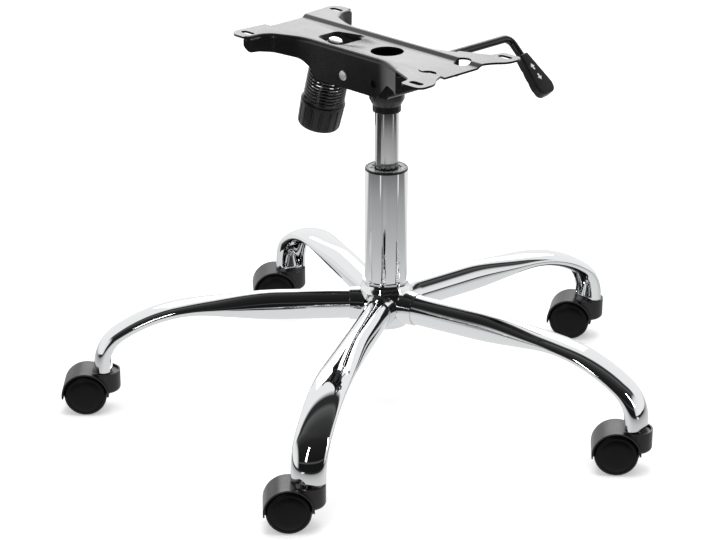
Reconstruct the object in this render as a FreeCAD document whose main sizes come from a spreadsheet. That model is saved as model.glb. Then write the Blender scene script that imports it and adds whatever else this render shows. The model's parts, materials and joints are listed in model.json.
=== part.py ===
import FreeCAD, Part
import math
import os
import re

import Sketcher

# Five-star swivel base with a gas lift, a tilt mechanism and five twin-wheel casters.
# The origin is on the column axis at floor level, Z points up, the seat's front is -Y
# and the lever leaves towards -X. All lengths are in millimetres, angles in degrees.

SIZES = [
    # star
    ("leg_count", 5, "legs in the star"),
    ("leg_start_angle", 30.8, "azimuth of the first leg"),
    ("stem_radius_of_star", 333, "column axis to caster stem axis"),
    ("leg_axis_height", 130, "height of the level run of a leg"),
    ("leg_end_height", 54.2, "height of the cut end of a leg"),
    ("leg_wall", 1.6, "wall of the leg tube"),
    ("root_half_width", 16, "leg at the hub, across"),
    ("root_half_height", 17.9, "leg at the hub, upright"),
    ("flat_half_width", 20.6, "leg in the bend, across"),
    ("flat_half_height", 8.7, "leg in the bend, upright"),
    ("end_half_width", 19.8, "leg at its end, across"),
    ("end_half_depth", 11.5, "leg at its end, along the leg"),
    ("easy_bend_radius", 180, "first, wide bend of a leg"),
    ("easy_bend_angle", 35, "turn of the wide bend"),
    ("tight_bend_radius", 45, "second, tight bend of a leg"),
    ("squash_start", 125, "where the tall oval starts to flatten"),
    ("squash_end", 245, "where the flat oval is reached"),
    ("arch_width", 29, "opening in the inner side of a leg end"),
    ("arch_height", 44, "height of that opening above the end"),
    # hub
    ("hub_diameter", 61, "hub barrel"),
    ("hub_bottom", 24.5, "underside of the hub below the legs' line"),
    ("hub_height", 44, "barrel of the hub"),
    ("hub_edge", 5, "rounding under the barrel"),
    ("hub_rim_radius", 25.5, "low rim under the barrel"),
    ("hub_rim_height", 3.5, "height of that rim"),
    ("shoulder_height", 7, "sloped shoulder above the barrel"),
    ("neck_height", 5, "neck above the shoulder"),
    ("neck_wall", 1.8, "wall of the neck round the column"),
    ("lip_width", 3, "inward lip that carries the column"),
    ("lip_height", 6.5, "height of that lip"),
    ("collar_reach", 43, "column axis to the end of a leg collar"),
    ("collar_wall", 1.5, "wall of a leg collar"),
    ("weld_clearance", 0.05, "gap between a leg and its collar"),
    # column
    ("column_diameter", 50, "outer column tube"),
    ("column_wall", 2, "wall of the column tube"),
    ("column_top", 296.3, "top edge of the column tube"),
    ("column_clearance", 0.05, "column tube in the hub"),
    ("crimp_count", 9, "crimps round the foot of the column"),
    ("crimp_start_angle", 0, "azimuth of the first crimp"),
    ("crimp_length", 46, "length of a crimp above the neck"),
    ("crimp_depth", 1.3, "depth of a crimp at its foot"),
    ("crimp_radius", 3, "rounding of a crimp at its foot"),
    # guide at the column's top
    ("bush_flange_height", 2.5, "flange of the guide bush"),
    ("bush_length", 62, "sleeve of the guide bush"),
    ("bush_clearance", 0.05, "guide bush in the column"),
    ("ring_thickness", 0.9, "lock ring in the guide bush"),
    ("ring_outer_radius", 22, "lock ring, outside"),
    ("ring_inner_radius", 16.6, "lock ring, inside"),
    ("ring_slots", 10, "slots in the lock ring"),
    ("ring_slot_width", 2.4, "width of one slot"),
    # gas lift
    ("cylinder_diameter", 28, "gas cylinder"),
    ("cylinder_bottom", 200, "lower end of the gas cylinder"),
    ("cylinder_top", 9, "upper end of the gas cylinder above the bracket's underside"),
    ("cylinder_wall", 2.4, "wall of the gas cylinder"),
    ("cylinder_plug", 9, "end plugs of the gas cylinder"),
    ("cylinder_running", 0.08, "gas cylinder in the guide bush"),
    ("taper_drop", 0.7, "radius lost over the taper"),
    ("valve_radius", 2.5, "release button"),
    ("valve_clearance", 0.1, "release button in its bore"),
    ("valve_depth", 14, "release button inside the cylinder"),
    ("button_gap", 0.3, "release button to the lever's tongue"),
    ("rod_diameter", 10, "piston rod"),
    ("rod_running", 0.1, "piston rod in the cylinder's seal"),
    ("rod_top", 14, "upper end of the piston rod inside the gas cylinder"),
    ("piston_height", 5, "piston on the rod"),
    ("piston_running", 0.2, "piston in the cylinder"),
    ("rod_foot_diameter", 8, "foot of the piston rod"),
    ("foot_clearance", 0.15, "rod foot in the bearing"),
    ("foot_drop", 6, "rod foot below the column's base disc"),
    ("base_disc_height", 3, "disc welded into the foot of the column"),
    ("base_disc_level", 6, "underside of that disc above the column's foot"),
    ("race_height", 1.5, "each bearing race"),
    ("race_radius", 10.5, "outer radius of the bearing"),
    ("ball_diameter", 4, "bearing balls"),
    ("ball_count", 10, "bearing balls in the ring"),
    ("bearing_gap", 0.05, "play in the bearing"),
    ("buffer_height", 12, "rubber buffer on the rod"),
    ("buffer_radius", 12, "rubber buffer, outside"),
    ("clip_height", 1.5, "retaining clip under the disc"),
    ("clip_radius", 7.5, "retaining clip, outside"),
    ("clip_gap", 0.2, "retaining clip to the disc"),
    # taper socket
    ("socket_level", 70.1, "lower edge of the dust collar above the column's top edge"),
    ("dust_collar_height", 8, "dust collar under the socket"),
    ("socket_neck_radius", 16.5, "socket at the dust collar"),
    ("socket_radius", 20.5, "socket at the bracket"),
    ("socket_cone_height", 7.7, "cone of the socket"),
    ("socket_top", 1, "upper edge of the socket above the gas cylinder"),
    ("socket_upper_radius", 18, "socket inside the bracket"),
    ("collar_gap", 0.1, "dust collar round the cylinder"),
    # seat plate
    ("plate_top", 70.6, "middle of the seat plate above the dust collar's lower edge"),
    ("sheet", 2.5, "sheet of the seat plate"),
    ("plate_half_width", 39, "half width over the side flanges"),
    ("ear_rise", 3.5, "ears above the middle of the plate"),
    ("fold_inner", 26.5, "half width of the low middle"),
    ("fold_outer", 32.5, "half width at which the ears are level"),
    ("tray_bend", 5, "rounding where the middle meets the ears"),
    ("fold_radius", 5, "outer rounding between the plate and its flanges"),
    ("front_edge", 169, "front edge of the plate from the axis"),
    ("front_ear_tip", 175, "front ears from the axis"),
    ("front_ear_half_width", 86, "front ears, half width"),
    ("front_ear_root", 142, "rear side of the front ears"),
    ("rear_edge", 115.5, "rear edge of the plate from the axis"),
    ("rear_ear_tip", 133, "rear ears from the axis"),
    ("rear_ear_half_width", 83, "rear ears, half width"),
    ("rear_ear_root", 103, "front side of the rear ears"),
    ("slot_half_spacing", 71, "slots across the seat, from the middle"),
    ("front_slot", 157, "front slots from the axis"),
    ("rear_slot", 116, "rear slots from the axis"),
    ("slot_length", 19, "length of a slot"),
    ("slot_width", 8.5, "width of a slot"),
    ("big_hole_diameter", 38, "hole above the gas lift"),
    ("small_hole_diameter", 20, "holes at the rear of the plate"),
    ("small_hole_half_spacing", 28, "those holes from the middle"),
    ("small_hole_back", 91, "those holes from the axis"),
    ("flange_drop", 42, "depth of the side flanges"),
    ("flange_front", 80.5, "front end of the deep flange"),
    ("flange_front_drop", 30, "depth of the flange before it deepens"),
    ("flange_waist_drop", 22, "depth of the flange further forward"),
    ("flange_ear_drop", 17.5, "depth of the flange where it meets the ears"),
    ("flange_tip_drop", 7, "depth of the flange at its front end"),
    ("flange_start", 148, "front end of the flange"),
    ("flange_rear", 22, "rear end of the deep flange"),
    ("arch_notch_drop", 23.5, "depth of the flange in its notch"),
    ("arch_notch_start", 41, "front end of the notch's roof"),
    ("flange_end", 64, "rear end of the flange"),
    ("side_hole_diameter", 9, "round hole in the near flange"),
    ("side_hole_back", 18, "that hole from the axis"),
    ("side_hole_height", 15.3, "that hole above the bracket's underside"),
    # tilt bracket
    ("bracket_sheet", 3, "sheet of the tilt bracket"),
    ("bracket_side_gap", 0.5, "bracket to the plate's flanges"),
    ("bracket_bottom", 42, "underside of the bracket below the plate's top"),
    ("bracket_rear", 38, "rear wall of the bracket"),
    ("bracket_rear_height", 26, "height of the bracket at the rear"),
    ("bracket_front", 60, "front end of the bracket's floor"),
    ("bracket_top_gap", 2.4, "bracket to the plate's underside"),
    ("tongue_reach", 24, "tongue in front of the bolt axis"),
    ("tongue_back", 22, "tongue behind the bolt axis"),
    ("tongue_front_height", 9, "walls above the tongue's front"),
    # tilt pivot
    ("pivot_forward", 31, "tilt axis in front of the column axis"),
    ("pivot_height", 15, "tilt axis above the bracket's underside"),
    ("pivot_diameter", 8, "pivot rivet"),
    ("pivot_running", 0.08, "pivot rivet in the bracket"),
    ("pivot_head_diameter", 11.5, "heads of the pivot rivet"),
    ("pivot_head_height", 1.8, "height of those heads"),
    # tension bolt, spring and knob
    ("bolt_tilt", 15.5, "lean of the tension bolt"),
    ("bolt_forward", 83.8, "bolt head in front of the axis"),
    ("bolt_head_level", 3.7, "top of the bolt head below the plate's top"),
    ("bolt_head_flats", 15, "bolt head across flats"),
    ("bolt_head_height", 6, "height of the bolt head"),
    ("bolt_diameter", 10, "tension bolt"),
    ("bolt_length", 104, "head top to the bolt's end"),
    ("bolt_hole_clearance", 0.3, "bolt in the plate"),
    ("bolt_swing_clearance", 3.3, "bolt in the bracket's tongue"),
    ("dimple_half_width", 10.5, "floor of the dimple, half width"),
    ("dimple_rounding", 4, "corners of the dimple's floor"),
    ("tongue_level", 21, "head top to the tongue's upper side"),
    ("spring_wire", 3, "wire of the tension spring"),
    ("spring_pitch", 4.15, "pitch of the tension spring"),
    ("spring_outer_diameter", 49.5, "tension spring, outside"),
    ("spring_gap", 0.25, "spring to its seats"),
    ("washer_height", 2, "washer under the spring"),
    ("washer_running", 0.3, "washer round the bolt"),
    ("knob_level", 79.8, "head top to the knob's upper face"),
    ("knob_height", 33.1, "height of the knob"),
    ("knob_top_diameter", 53, "knob at its top"),
    ("knob_foot_diameter", 50.6, "knob at its foot"),
    ("knob_groove_count", 16, "grooves round the knob"),
    ("knob_groove_radius", 1.6, "grooves of the knob"),
    ("knob_travel", 4.5, "way of the knob along the bolt"),
    ("knob_running", 0.1, "knob round the bolt's thread"),
    ("knob_edge", 3, "rounding of the knob's foot"),
    # lever
    ("lever_back", 14, "lever rod behind the column axis"),
    ("lever_height", 22.5, "lever rod above the bracket's underside"),
    ("lever_diameter", 9.5, "lever rod"),
    ("lever_reach", 189, "column axis to the lever's bend"),
    ("lever_bend_radius", 11, "bend of the lever rod"),
    ("lever_drop_angle", 47, "fall of the lever's arm"),
    ("lever_out_angle", 6, "lean of the arm away from the seat"),
    ("lever_arm", 40, "bend to the end of the rod"),
    ("tongue_thickness", 3, "flattened tongue of the lever"),
    ("tongue_width", 9, "flattened tongue, across"),
    ("tongue_overhang", 5, "tongue past the release button"),
    ("bush_wall", 0.8, "lever bush"),
    ("lever_running", 0.05, "lever rod in its bushes"),
    ("bush_press", 0.02, "lever bush in the bracket"),
    ("bush_head", 1.2, "collar of the lever bush"),
    ("lever_slot_clearance", 1.5, "lever rod in the far flange"),
    ("tilt_range", 8, "tilt of the seat plate"),
    ("handle_start", 26, "bend to the handle"),
    ("handle_length", 56, "handle"),
    ("handle_top_width", 13, "handle at the rod"),
    ("handle_end_width", 28, "handle at its end"),
    ("handle_thickness", 12, "handle, thickness"),
    ("handle_scallop", 9, "finger scallops, radius"),
    ("handle_grip_clearance", 0.05, "handle on the rod"),
    # casters
    ("wheel_diameter", 50, "caster wheel"),
    ("wheel_width", 14.4, "caster wheel"),
    ("wheel_wall", 3, "rim and face of a wheel"),
    ("wheel_dome", 1.4, "dome of a wheel's face"),
    ("wheel_hub_radius", 7, "hub of a wheel"),
    ("wheel_gap", 0.6, "wheel to the hood's web"),
    ("web_thickness", 11, "web between the wheels"),
    ("trail", 21.5, "stem axis to axle axis"),
    ("axle_diameter", 6, "caster axle"),
    ("axle_running", 0.06, "wheel on the axle"),
    ("axle_press", 0.01, "axle in the hood"),
    ("hood_gap", 1.2, "wheel to the hood"),
    ("hood_wall", 1.8, "wall of the hood"),
    ("hood_half_width", 20.8, "half width of the hood"),
    ("hood_tip_angle", 8, "hood tip below the axle"),
    ("boss_radius", 19, "round rear of the hood"),
    ("boss_bottom", 26, "underside of the boss"),
    ("boss_top", 49.6, "floor of the boss's rim"),
    ("boss_rim_height", 2.3, "rim round the boss"),
    ("boss_rim_wall", 2, "wall of that rim"),
    ("boss_edge", 5, "rounding under the boss"),
    ("stem_diameter", 8, "caster stem"),
    ("stem_running", 0.1, "stem in the hood"),
    ("stem_press", 0.02, "stem in its socket"),
    ("stem_ball_rise", 23, "ball end above the leg's end"),
    ("stem_depth", 19, "stem inside the boss"),
    ("stem_collar_radius", 6.5, "collar on the stem"),
    ("stem_collar_gap", 0.2, "collar to the hood and the leg"),
    ("socket_base_height", 2, "base of a caster socket"),
    ("socket_base_gap", 0.1, "socket base in the leg"),
    ("cone_foot_radius", 9, "caster socket at its foot"),
    ("cone_top_radius", 5.2, "caster socket at its top"),
    ("cone_height", 16, "height of a caster socket"),
]

# Headings of the five casters as they were left standing, azimuth of each trail.
CASTER_HEADINGS = [("caster_heading_%d" % k, angle, "trail of caster %d" % k)
                   for k, angle in enumerate([318, 312, 305, 320, 316], 1)]

DERIVED = {
    "hub_under": "leg_axis_height - hub_bottom",
    "collar_level": "column_top + socket_level",
    "plate_level": "collar_level + plate_top",
    "bracket_under": "plate_level - bracket_bottom",
    "cylinder_end": "bracket_under + cylinder_top",
    "socket_end": "cylinder_end + socket_top",
    "rod_end": "cylinder_bottom + rod_top",
    "disc_under": "column_foot + base_disc_level",
    "side_hole_level": "bracket_under + side_hole_height",
    "pivot_level": "bracket_under + pivot_height",
    "bolt_level": "plate_level - bolt_head_level",
    "lever_level": "bracket_under + lever_height",
    "hub_radius": "hub_diameter / 2",
    "hub_top": "hub_under + hub_height",
    "neck_bottom": "hub_top + shoulder_height",
    "neck_top": "neck_bottom + neck_height",
    "column_radius": "column_diameter / 2",
    "column_bore": "column_radius - column_wall",
    "column_foot": "hub_under + lip_height",
    "hub_bore": "column_radius + column_clearance",
    "neck_radius": "hub_bore + neck_wall",
    "bush_top": "column_top + bush_flange_height",
    "cylinder_radius": "cylinder_diameter / 2",
    "cylinder_bore": "cylinder_radius - cylinder_wall",
    "taper_foot": "collar_level + dust_collar_height",
    "taper_top_radius": "cylinder_radius - taper_drop",
    "tongue_under": "lever_level - tongue_thickness / 2",
    "button_top": "tongue_under - button_gap",
    "rod_radius": "rod_diameter / 2",
    "foot_radius": "rod_foot_diameter / 2",
    "disc_top": "disc_under + base_disc_height",
    "ball_level": "disc_top + race_height",
    "upper_race": "ball_level + ball_diameter + bearing_gap",
    "rod_shoulder": "upper_race + race_height",
    "plate_under": "plate_level - sheet",
    "flange_inside": "plate_half_width - sheet",
    "bracket_half_width": "flange_inside - bracket_side_gap",
    "bracket_inside": "bracket_half_width - bracket_sheet",
    "bolt_radius": "bolt_diameter / 2",
    "tongue_bottom": "tongue_level + bracket_sheet",
    "washer_level": "knob_level - washer_height",
    "spring_top": "tongue_bottom + spring_gap",
    "spring_foot": "washer_level - spring_gap",
    "spring_radius": "(spring_outer_diameter - spring_wire) / 2",
    "lever_radius": "lever_diameter / 2",
    "bush_outer": "lever_radius + lever_running + bush_wall",
    "wheel_radius": "wheel_diameter / 2",
    "wheel_inner": "web_thickness / 2 + wheel_gap",
    "axle_radius": "axle_diameter / 2",
    "cavity_radius": "wheel_radius + hood_gap",
    "hood_radius": "cavity_radius + hood_wall",
    "stem_radius": "stem_diameter / 2",
}

doc = FreeCAD.newDocument("FiveStarBase")
sheet = doc.addObject("Spreadsheet::Sheet", "Sizes")
for row, (alias, value, meaning) in enumerate(SIZES + CASTER_HEADINGS, 1):
    sheet.set("A%d" % row, meaning)
    sheet.set("B%d" % row, str(value))
    sheet.setAlias("B%d" % row, alias)
doc.recompute()
ALIASES = {alias for alias, value, meaning in SIZES + CASTER_HEADINGS}

Vector = FreeCAD.Vector
Rotation = FreeCAD.Rotation
Placement = FreeCAD.Placement
X_AXIS = Vector(1, 0, 0)
Y_AXIS = Vector(0, 1, 0)
Z_AXIS = Vector(0, 0, 1)
nodes = []


def formula(text):
    """Spell out the worked-out names and point each size at its cell in the sheet."""
    def spell(match):
        word = match.group(0)
        if word in DERIVED:
            return "(" + formula(DERIVED[word]) + ")"
        return "Sizes." + word if word in ALIASES else word
    return re.sub(r"[a-z]\w*", spell, str(text))


def size(text):
    """The present value of a formula, for shapes that are made in code."""
    return float(sheet.evalExpression(formula(text)))


def bind(item, **sizes):
    """Tie properties of an object to formulas of the sheet."""
    for name, text in sizes.items():
        item.setExpression(name, formula(text))


def place(item, x="0", y="0", z="0", axis=Z_AXIS, angle="0"):
    """Tie an object's place to the sheet: a turn about one axis, then a shift."""
    item.Placement = Placement(Vector(0, 0, 0), Rotation(axis, 1))
    bind(item, **{"Placement.Base.x": x, "Placement.Base.y": y, "Placement.Base.z": z,
                  "Placement.Rotation.Angle": angle})


def plane_of(body, role):
    """A body's own origin plane."""
    return next(item for item in body.Origin.OriginFeatures if item.Role == role)


def profile(body, name, role, corners):
    """A closed sketch of straight edges whose corners are pairs of formulas."""
    sketch = body.newObject("Sketcher::SketchObject", name)
    sketch.AttachmentSupport = [(plane_of(body, role), "")]
    sketch.MapMode = "FlatFace"
    points = [Vector(size(across), size(up), 0) for across, up in corners]
    count = len(points)
    for k in range(count):
        sketch.addGeometry(Part.LineSegment(points[k], points[(k + 1) % count]))
    for k in range(count):
        sketch.addConstraint(Sketcher.Constraint("Coincident", k, 2, (k + 1) % count, 1))
    for k, pair in enumerate(corners):
        for kind, text, value, line in zip(("DistanceX", "DistanceY"), pair, points[k], (-2, -1)):
            if text == "0":
                sketch.addConstraint(Sketcher.Constraint("PointOnObject", k, 1, line))
                continue
            row = sketch.addConstraint(Sketcher.Constraint(kind, -1, 1, k, 1, value))
            sketch.setExpression("Constraints[%d]" % row, formula(text))
    return sketch


def turned(label, corners):
    """A turned piece: a half section of (radius, height) corners revolved about Z."""
    body = doc.addObject("PartDesign::Body", label)
    sketch = profile(body, label + "_section", "XZ_Plane", corners)
    turn = body.newObject("PartDesign::Revolution", label + "_turn")
    turn.Profile = sketch
    turn.ReferenceAxis = (sketch, ["V_Axis"])
    turn.Angle = 360
    sketch.Visibility = False
    return body


def primitive(kind, name, **sizes):
    """A solid primitive tied to the sheet."""
    item = doc.addObject("Part::" + kind, name)
    bind(item, **sizes)
    return item


def made(name, shape, placement=Placement()):
    """A piece whose form is made in code."""
    item = doc.addObject("Part::Feature", name)
    item.Shape = shape
    item.Placement = placement
    return item


def cut(name, base, tool):
    """The base less the tool."""
    item = doc.addObject("Part::Cut", name)
    item.Base = base
    item.Tool = tool
    return item


def fuse(name, pieces):
    """Several solids grown into one."""
    item = doc.addObject("Part::MultiFuse", name)
    item.Shapes = pieces
    item.Refine = True
    return item


def node(item, label):
    """Name a finished sub-part and keep it for export."""
    item.Label = label
    nodes.append(item)
    return item


def oval(centre, across, upright, half_width, half_height):
    """An ellipse as a closed wire that always starts at the same side."""
    along = across.cross(upright)
    matrix = FreeCAD.Matrix(
        across.x * half_width, upright.x * half_height, along.x, centre.x,
        across.y * half_width, upright.y * half_height, along.y, centre.y,
        across.z * half_width, upright.z * half_height, along.z, centre.z,
        0, 0, 0, 1)
    circle = Part.Wire(Part.Circle(Vector(0, 0, 0), Z_AXIS, 1).toShape())
    return circle.transformGeometry(matrix)


def smooth(value):
    """A soft step from 0 to 1."""
    value = min(max(value, 0.0), 1.0)
    return value * value * (3 - 2 * value)


# The leg's centre line in its own plane: level, a wide bend, a tight bend, upright.
def leg_stations():
    """Places along a leg: radius, height, fall of the line and share of the way down."""
    wide, tight = size("easy_bend_radius"), size("tight_bend_radius")
    turn = math.radians(size("easy_bend_angle"))
    end_radius, level = size("stem_radius_of_star"), size("leg_axis_height")
    foot = size("leg_end_height")
    start = end_radius - wide * math.sin(turn) - tight * (1 - math.sin(turn))
    root = size("hub_radius") - 8
    flat_from, flat_to = size("squash_start"), size("squash_end")
    wide_steps, tight_steps, level_steps = 8, 9, 5
    stations = [(root, level, 0.0, 0.0)]
    for step in range(level_steps + 1):
        share = step / level_steps
        stations.append((flat_from + (start - flat_from) * share, level, 0.0, 0.0))
    for step in range(1, wide_steps + 1):
        angle = turn * step / wide_steps
        stations.append((start + wide * math.sin(angle), level - wide * (1 - math.cos(angle)),
                         angle, 0.0))
    bend_radius, bend_height = stations[-1][0], stations[-1][1]
    for step in range(1, tight_steps + 1):
        share = step / tight_steps
        angle = turn + (math.pi / 2 - turn) * share
        stations.append((bend_radius + tight * (math.sin(angle) - math.sin(turn)),
                         bend_height - tight * (math.cos(turn) - math.cos(angle)), angle, share))
    stations.append((end_radius, foot, math.pi / 2, 1.0))
    return stations, flat_from, flat_to


def leg_skin(inset, spare):
    """The leg as a solid, from the hub to its end, smaller by the inset all round."""
    stations, flat_from, flat_to = leg_stations()
    wires = []
    for radius, height, fall, down in stations:
        flat = smooth((radius - flat_from) / (flat_to - flat_from))
        half_width = size("root_half_width") * (1 - flat) + size("flat_half_width") * flat
        half_height = size("root_half_height") * (1 - flat) + size("flat_half_height") * flat
        half_width += (size("end_half_width") - half_width) * down
        half_height += (size("end_half_depth") - half_height) * down
        upright = Vector(math.sin(fall), 0, math.cos(fall))
        wires.append(oval(Vector(radius, 0, height), Y_AXIS, upright,
                          half_width - inset, half_height - inset))
    if spare:
        wires[0].translate(Vector(-spare, 0, 0))
        wires[-1].translate(Vector(0, 0, -spare))
    return Part.makeLoft(wires, True, True)


def leg_shape():
    """One hollow leg, seated on the hub's barrel and open towards the hub at its end."""
    skin = leg_skin(0, 0).cut(leg_skin(size("leg_wall"), 2))
    barrel = Part.makeCylinder(size("hub_radius"), 400)
    arch_radius = size("arch_width") / 2
    foot = size("leg_end_height")
    straight = size("arch_height") - arch_radius
    reach = 80
    stem = size("stem_radius_of_star")
    post = Part.makeBox(reach, 2 * arch_radius, straight + 5,
                        Vector(stem - reach, -arch_radius, foot - 5))
    crown = Part.makeCylinder(arch_radius, reach, Vector(stem - reach, 0, foot + straight), X_AXIS)
    return skin.cut([barrel, post.fuse(crown)])


leg = leg_shape()
for k in range(int(size("leg_count"))):
    azimuth = size("leg_start_angle") + 360 * k / size("leg_count")
    turn = Placement(Vector(0, 0, 0), Rotation(Z_AXIS, azimuth))
    node(made("leg_body_%d" % (k + 1), leg, turn), "leg_%d" % (k + 1))


# Hub: turned barrel with shoulder and neck, five flared collars round the leg roots.
hub_turning = turned("hub_turning", [
    ("column_bore - lip_width", "hub_under"),
    ("hub_rim_radius", "hub_under"),
    ("hub_rim_radius", "hub_under + hub_rim_height"),
    ("hub_radius - hub_edge * (1 - sin(30))",
     "hub_under + hub_rim_height + hub_edge * (1 - cos(30))"),
    ("hub_radius - hub_edge * (1 - sin(60))",
     "hub_under + hub_rim_height + hub_edge * (1 - cos(60))"),
    ("hub_radius", "hub_under + hub_rim_height + hub_edge"),
    ("hub_radius", "hub_top"),
    ("neck_radius", "neck_bottom"),
    ("neck_radius", "neck_top"),
    ("hub_bore", "neck_top"),
    ("hub_bore", "column_foot"),
    ("column_bore - lip_width", "column_foot")])


def collar_shape(start, flare, wall, end):
    """A flared sleeve round a leg root, along X."""
    wires = []
    for radius, extra in ((start, flare), ((start + end) / 2, flare * 0.35), (end, 0)):
        wires.append(oval(Vector(radius, 0, size("leg_axis_height")), Y_AXIS, Z_AXIS,
                          size("root_half_width") + wall + extra,
                          size("root_half_height") + wall + extra * 0.25))
    return Part.makeLoft(wires, True, False)


collars = []
roots = []
for k in range(int(size("leg_count"))):
    azimuth = size("leg_start_angle") + 360 * k / size("leg_count")
    turn = Placement(Vector(0, 0, 0), Rotation(Z_AXIS, azimuth))
    sleeve = collar_shape(size("hub_radius") - 4, 2.5, size("collar_wall"), size("collar_reach"))
    root = collar_shape(size("hub_radius") - 12, 0, size("weld_clearance"), 60)
    collars.append(made("collar_%d" % (k + 1), sleeve, turn))
    roots.append(made("root_%d" % (k + 1), root, turn))
root_group = fuse("root_group", roots)
barrel_core = primitive("Cylinder", "barrel_core", Radius="hub_radius", Height="2 * hub_top")
root_holes = cut("root_holes", root_group, barrel_core)
hub_solid = fuse("hub_solid", [hub_turning] + collars)
hub_bore_tool = primitive("Cylinder", "hub_bore_tool", Radius="hub_bore", Height="hub_height")
place(hub_bore_tool, z="column_foot")
hub_drilled = cut("hub_drilled", hub_solid, hub_bore_tool)
node(cut("hub_body", hub_drilled, root_holes), "hub_tube")


# Column tube: turned, with crimps that widen towards its foot.
column_turning = turned("column_turning", [
    ("column_bore", "column_foot"),
    ("column_radius", "column_foot"),
    ("column_radius", "column_top"),
    ("column_bore", "column_top")])
crimps = []
for k in range(int(size("crimp_count"))):
    crimp = primitive("Cone", "crimp_%d" % (k + 1), Radius1="crimp_radius", Radius2="0.1",
                      Height="crimp_length")
    angle = "(crimp_start_angle + 360 * %d / crimp_count)" % k
    middle = "(column_radius - crimp_depth + crimp_radius)"
    place(crimp, x="%s * cos(%s)" % (middle, angle), y="%s * sin(%s)" % (middle, angle),
          z="neck_top")
    crimps.append(crimp)
crimp_group = fuse("crimp_group", crimps)
node(cut("column_body", column_turning, crimp_group), "column_tube")

# Guide bush with its flange on the column, and the slotted lock ring in the flange.
node(turned("bush_body", [
    ("cylinder_radius + cylinder_running", "column_top - bush_length"),
    ("column_bore - bush_clearance", "column_top - bush_length"),
    ("column_bore - bush_clearance", "column_top"),
    ("column_radius", "column_top"),
    ("column_radius", "bush_top - 0.6"),
    ("column_radius - 0.6", "bush_top"),
    ("ring_outer_radius + 0.2", "bush_top"),
    ("ring_outer_radius + 0.2", "bush_top - ring_thickness - 0.3"),
    ("cylinder_radius + cylinder_running", "bush_top - ring_thickness - 0.3")]), "column_bush")
ring_disc = turned("ring_disc", [
    ("ring_inner_radius", "bush_top - ring_thickness - 0.3"),
    ("ring_outer_radius", "bush_top - ring_thickness - 0.3"),
    ("ring_outer_radius", "bush_top - 0.3"),
    ("ring_inner_radius", "bush_top - 0.3")])
ring_cuts = []
for k in range(int(size("ring_slots"))):
    slot = primitive("Box", "ring_slot_%d" % (k + 1), Length="ring_outer_radius - 3",
                     Width="ring_slot_width", Height="5")
    angle = "(360 * %d / ring_slots)" % k
    place(slot, x="ring_slot_width / 2 * sin(%s)" % angle,
          y="-ring_slot_width / 2 * cos(%s)" % angle, z="bush_top - 4", angle=angle)
    ring_cuts.append(slot)
node(cut("ring_body", ring_disc, fuse("ring_cut_group", ring_cuts)), "bush_lock_ring")

# Foot of the column: welded disc, ball thrust bearing, rubber buffer, retaining clip.
node(turned("base_disc_body", [
    ("foot_radius + foot_clearance", "disc_under"),
    ("column_bore", "disc_under"),
    ("column_bore", "disc_top"),
    ("foot_radius + foot_clearance", "disc_top")]), "column_base_disc")
node(turned("lower_race_body", [
    ("foot_radius + foot_clearance", "disc_top"),
    ("race_radius", "disc_top"),
    ("race_radius", "ball_level"),
    ("foot_radius + foot_clearance", "ball_level")]), "bearing_race_lower")
cage = turned("cage", [
    ("foot_radius + foot_clearance", "ball_level + 0.4 * ball_diameter"),
    ("race_radius", "ball_level + 0.4 * ball_diameter"),
    ("race_radius", "ball_level + 0.6 * ball_diameter"),
    ("foot_radius + foot_clearance", "ball_level + 0.6 * ball_diameter")])
balls = [cage]
for k in range(int(size("ball_count"))):
    ball = primitive("Sphere", "ball_%d" % (k + 1), Radius="ball_diameter / 2")
    angle = "(360 * %d / ball_count)" % k
    middle = "((foot_radius + race_radius) / 2)"
    place(ball, x="%s * cos(%s)" % (middle, angle), y="%s * sin(%s)" % (middle, angle),
          z="ball_level + ball_diameter / 2")
    balls.append(ball)
node(fuse("balls_body", balls), "bearing_balls")
node(turned("upper_race_body", [
    ("foot_radius + foot_clearance", "upper_race"),
    ("race_radius", "upper_race"),
    ("race_radius", "rod_shoulder"),
    ("foot_radius + foot_clearance", "rod_shoulder")]), "bearing_race_upper")
node(turned("buffer_body", [
    ("rod_radius + 0.05", "rod_shoulder"),
    ("buffer_radius", "rod_shoulder"),
    ("buffer_radius - 1.5", "rod_shoulder + buffer_height / 2"),
    ("buffer_radius", "rod_shoulder + buffer_height"),
    ("rod_radius + 0.05", "rod_shoulder + buffer_height")]), "rubber_buffer")
node(turned("clip_body", [
    ("foot_radius - 0.7", "disc_under - clip_gap - clip_height"),
    ("clip_radius", "disc_under - clip_gap - clip_height"),
    ("clip_radius", "disc_under - clip_gap"),
    ("foot_radius - 0.7", "disc_under - clip_gap")]), "retaining_clip")
node(turned("rod_body", [
    ("0", "disc_under - foot_drop"),
    ("foot_radius", "disc_under - foot_drop"),
    ("foot_radius", "disc_under - clip_gap - clip_height"),
    ("foot_radius - 0.7", "disc_under - clip_gap - clip_height"),
    ("foot_radius - 0.7", "disc_under - clip_gap"),
    ("foot_radius", "disc_under - clip_gap"),
    ("foot_radius", "rod_shoulder"),
    ("rod_radius", "rod_shoulder"),
    ("rod_radius", "rod_end - piston_height"),
    ("cylinder_bore - piston_running", "rod_end - piston_height"),
    ("cylinder_bore - piston_running", "rod_end"),
    ("0", "rod_end")]), "piston_rod")

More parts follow.
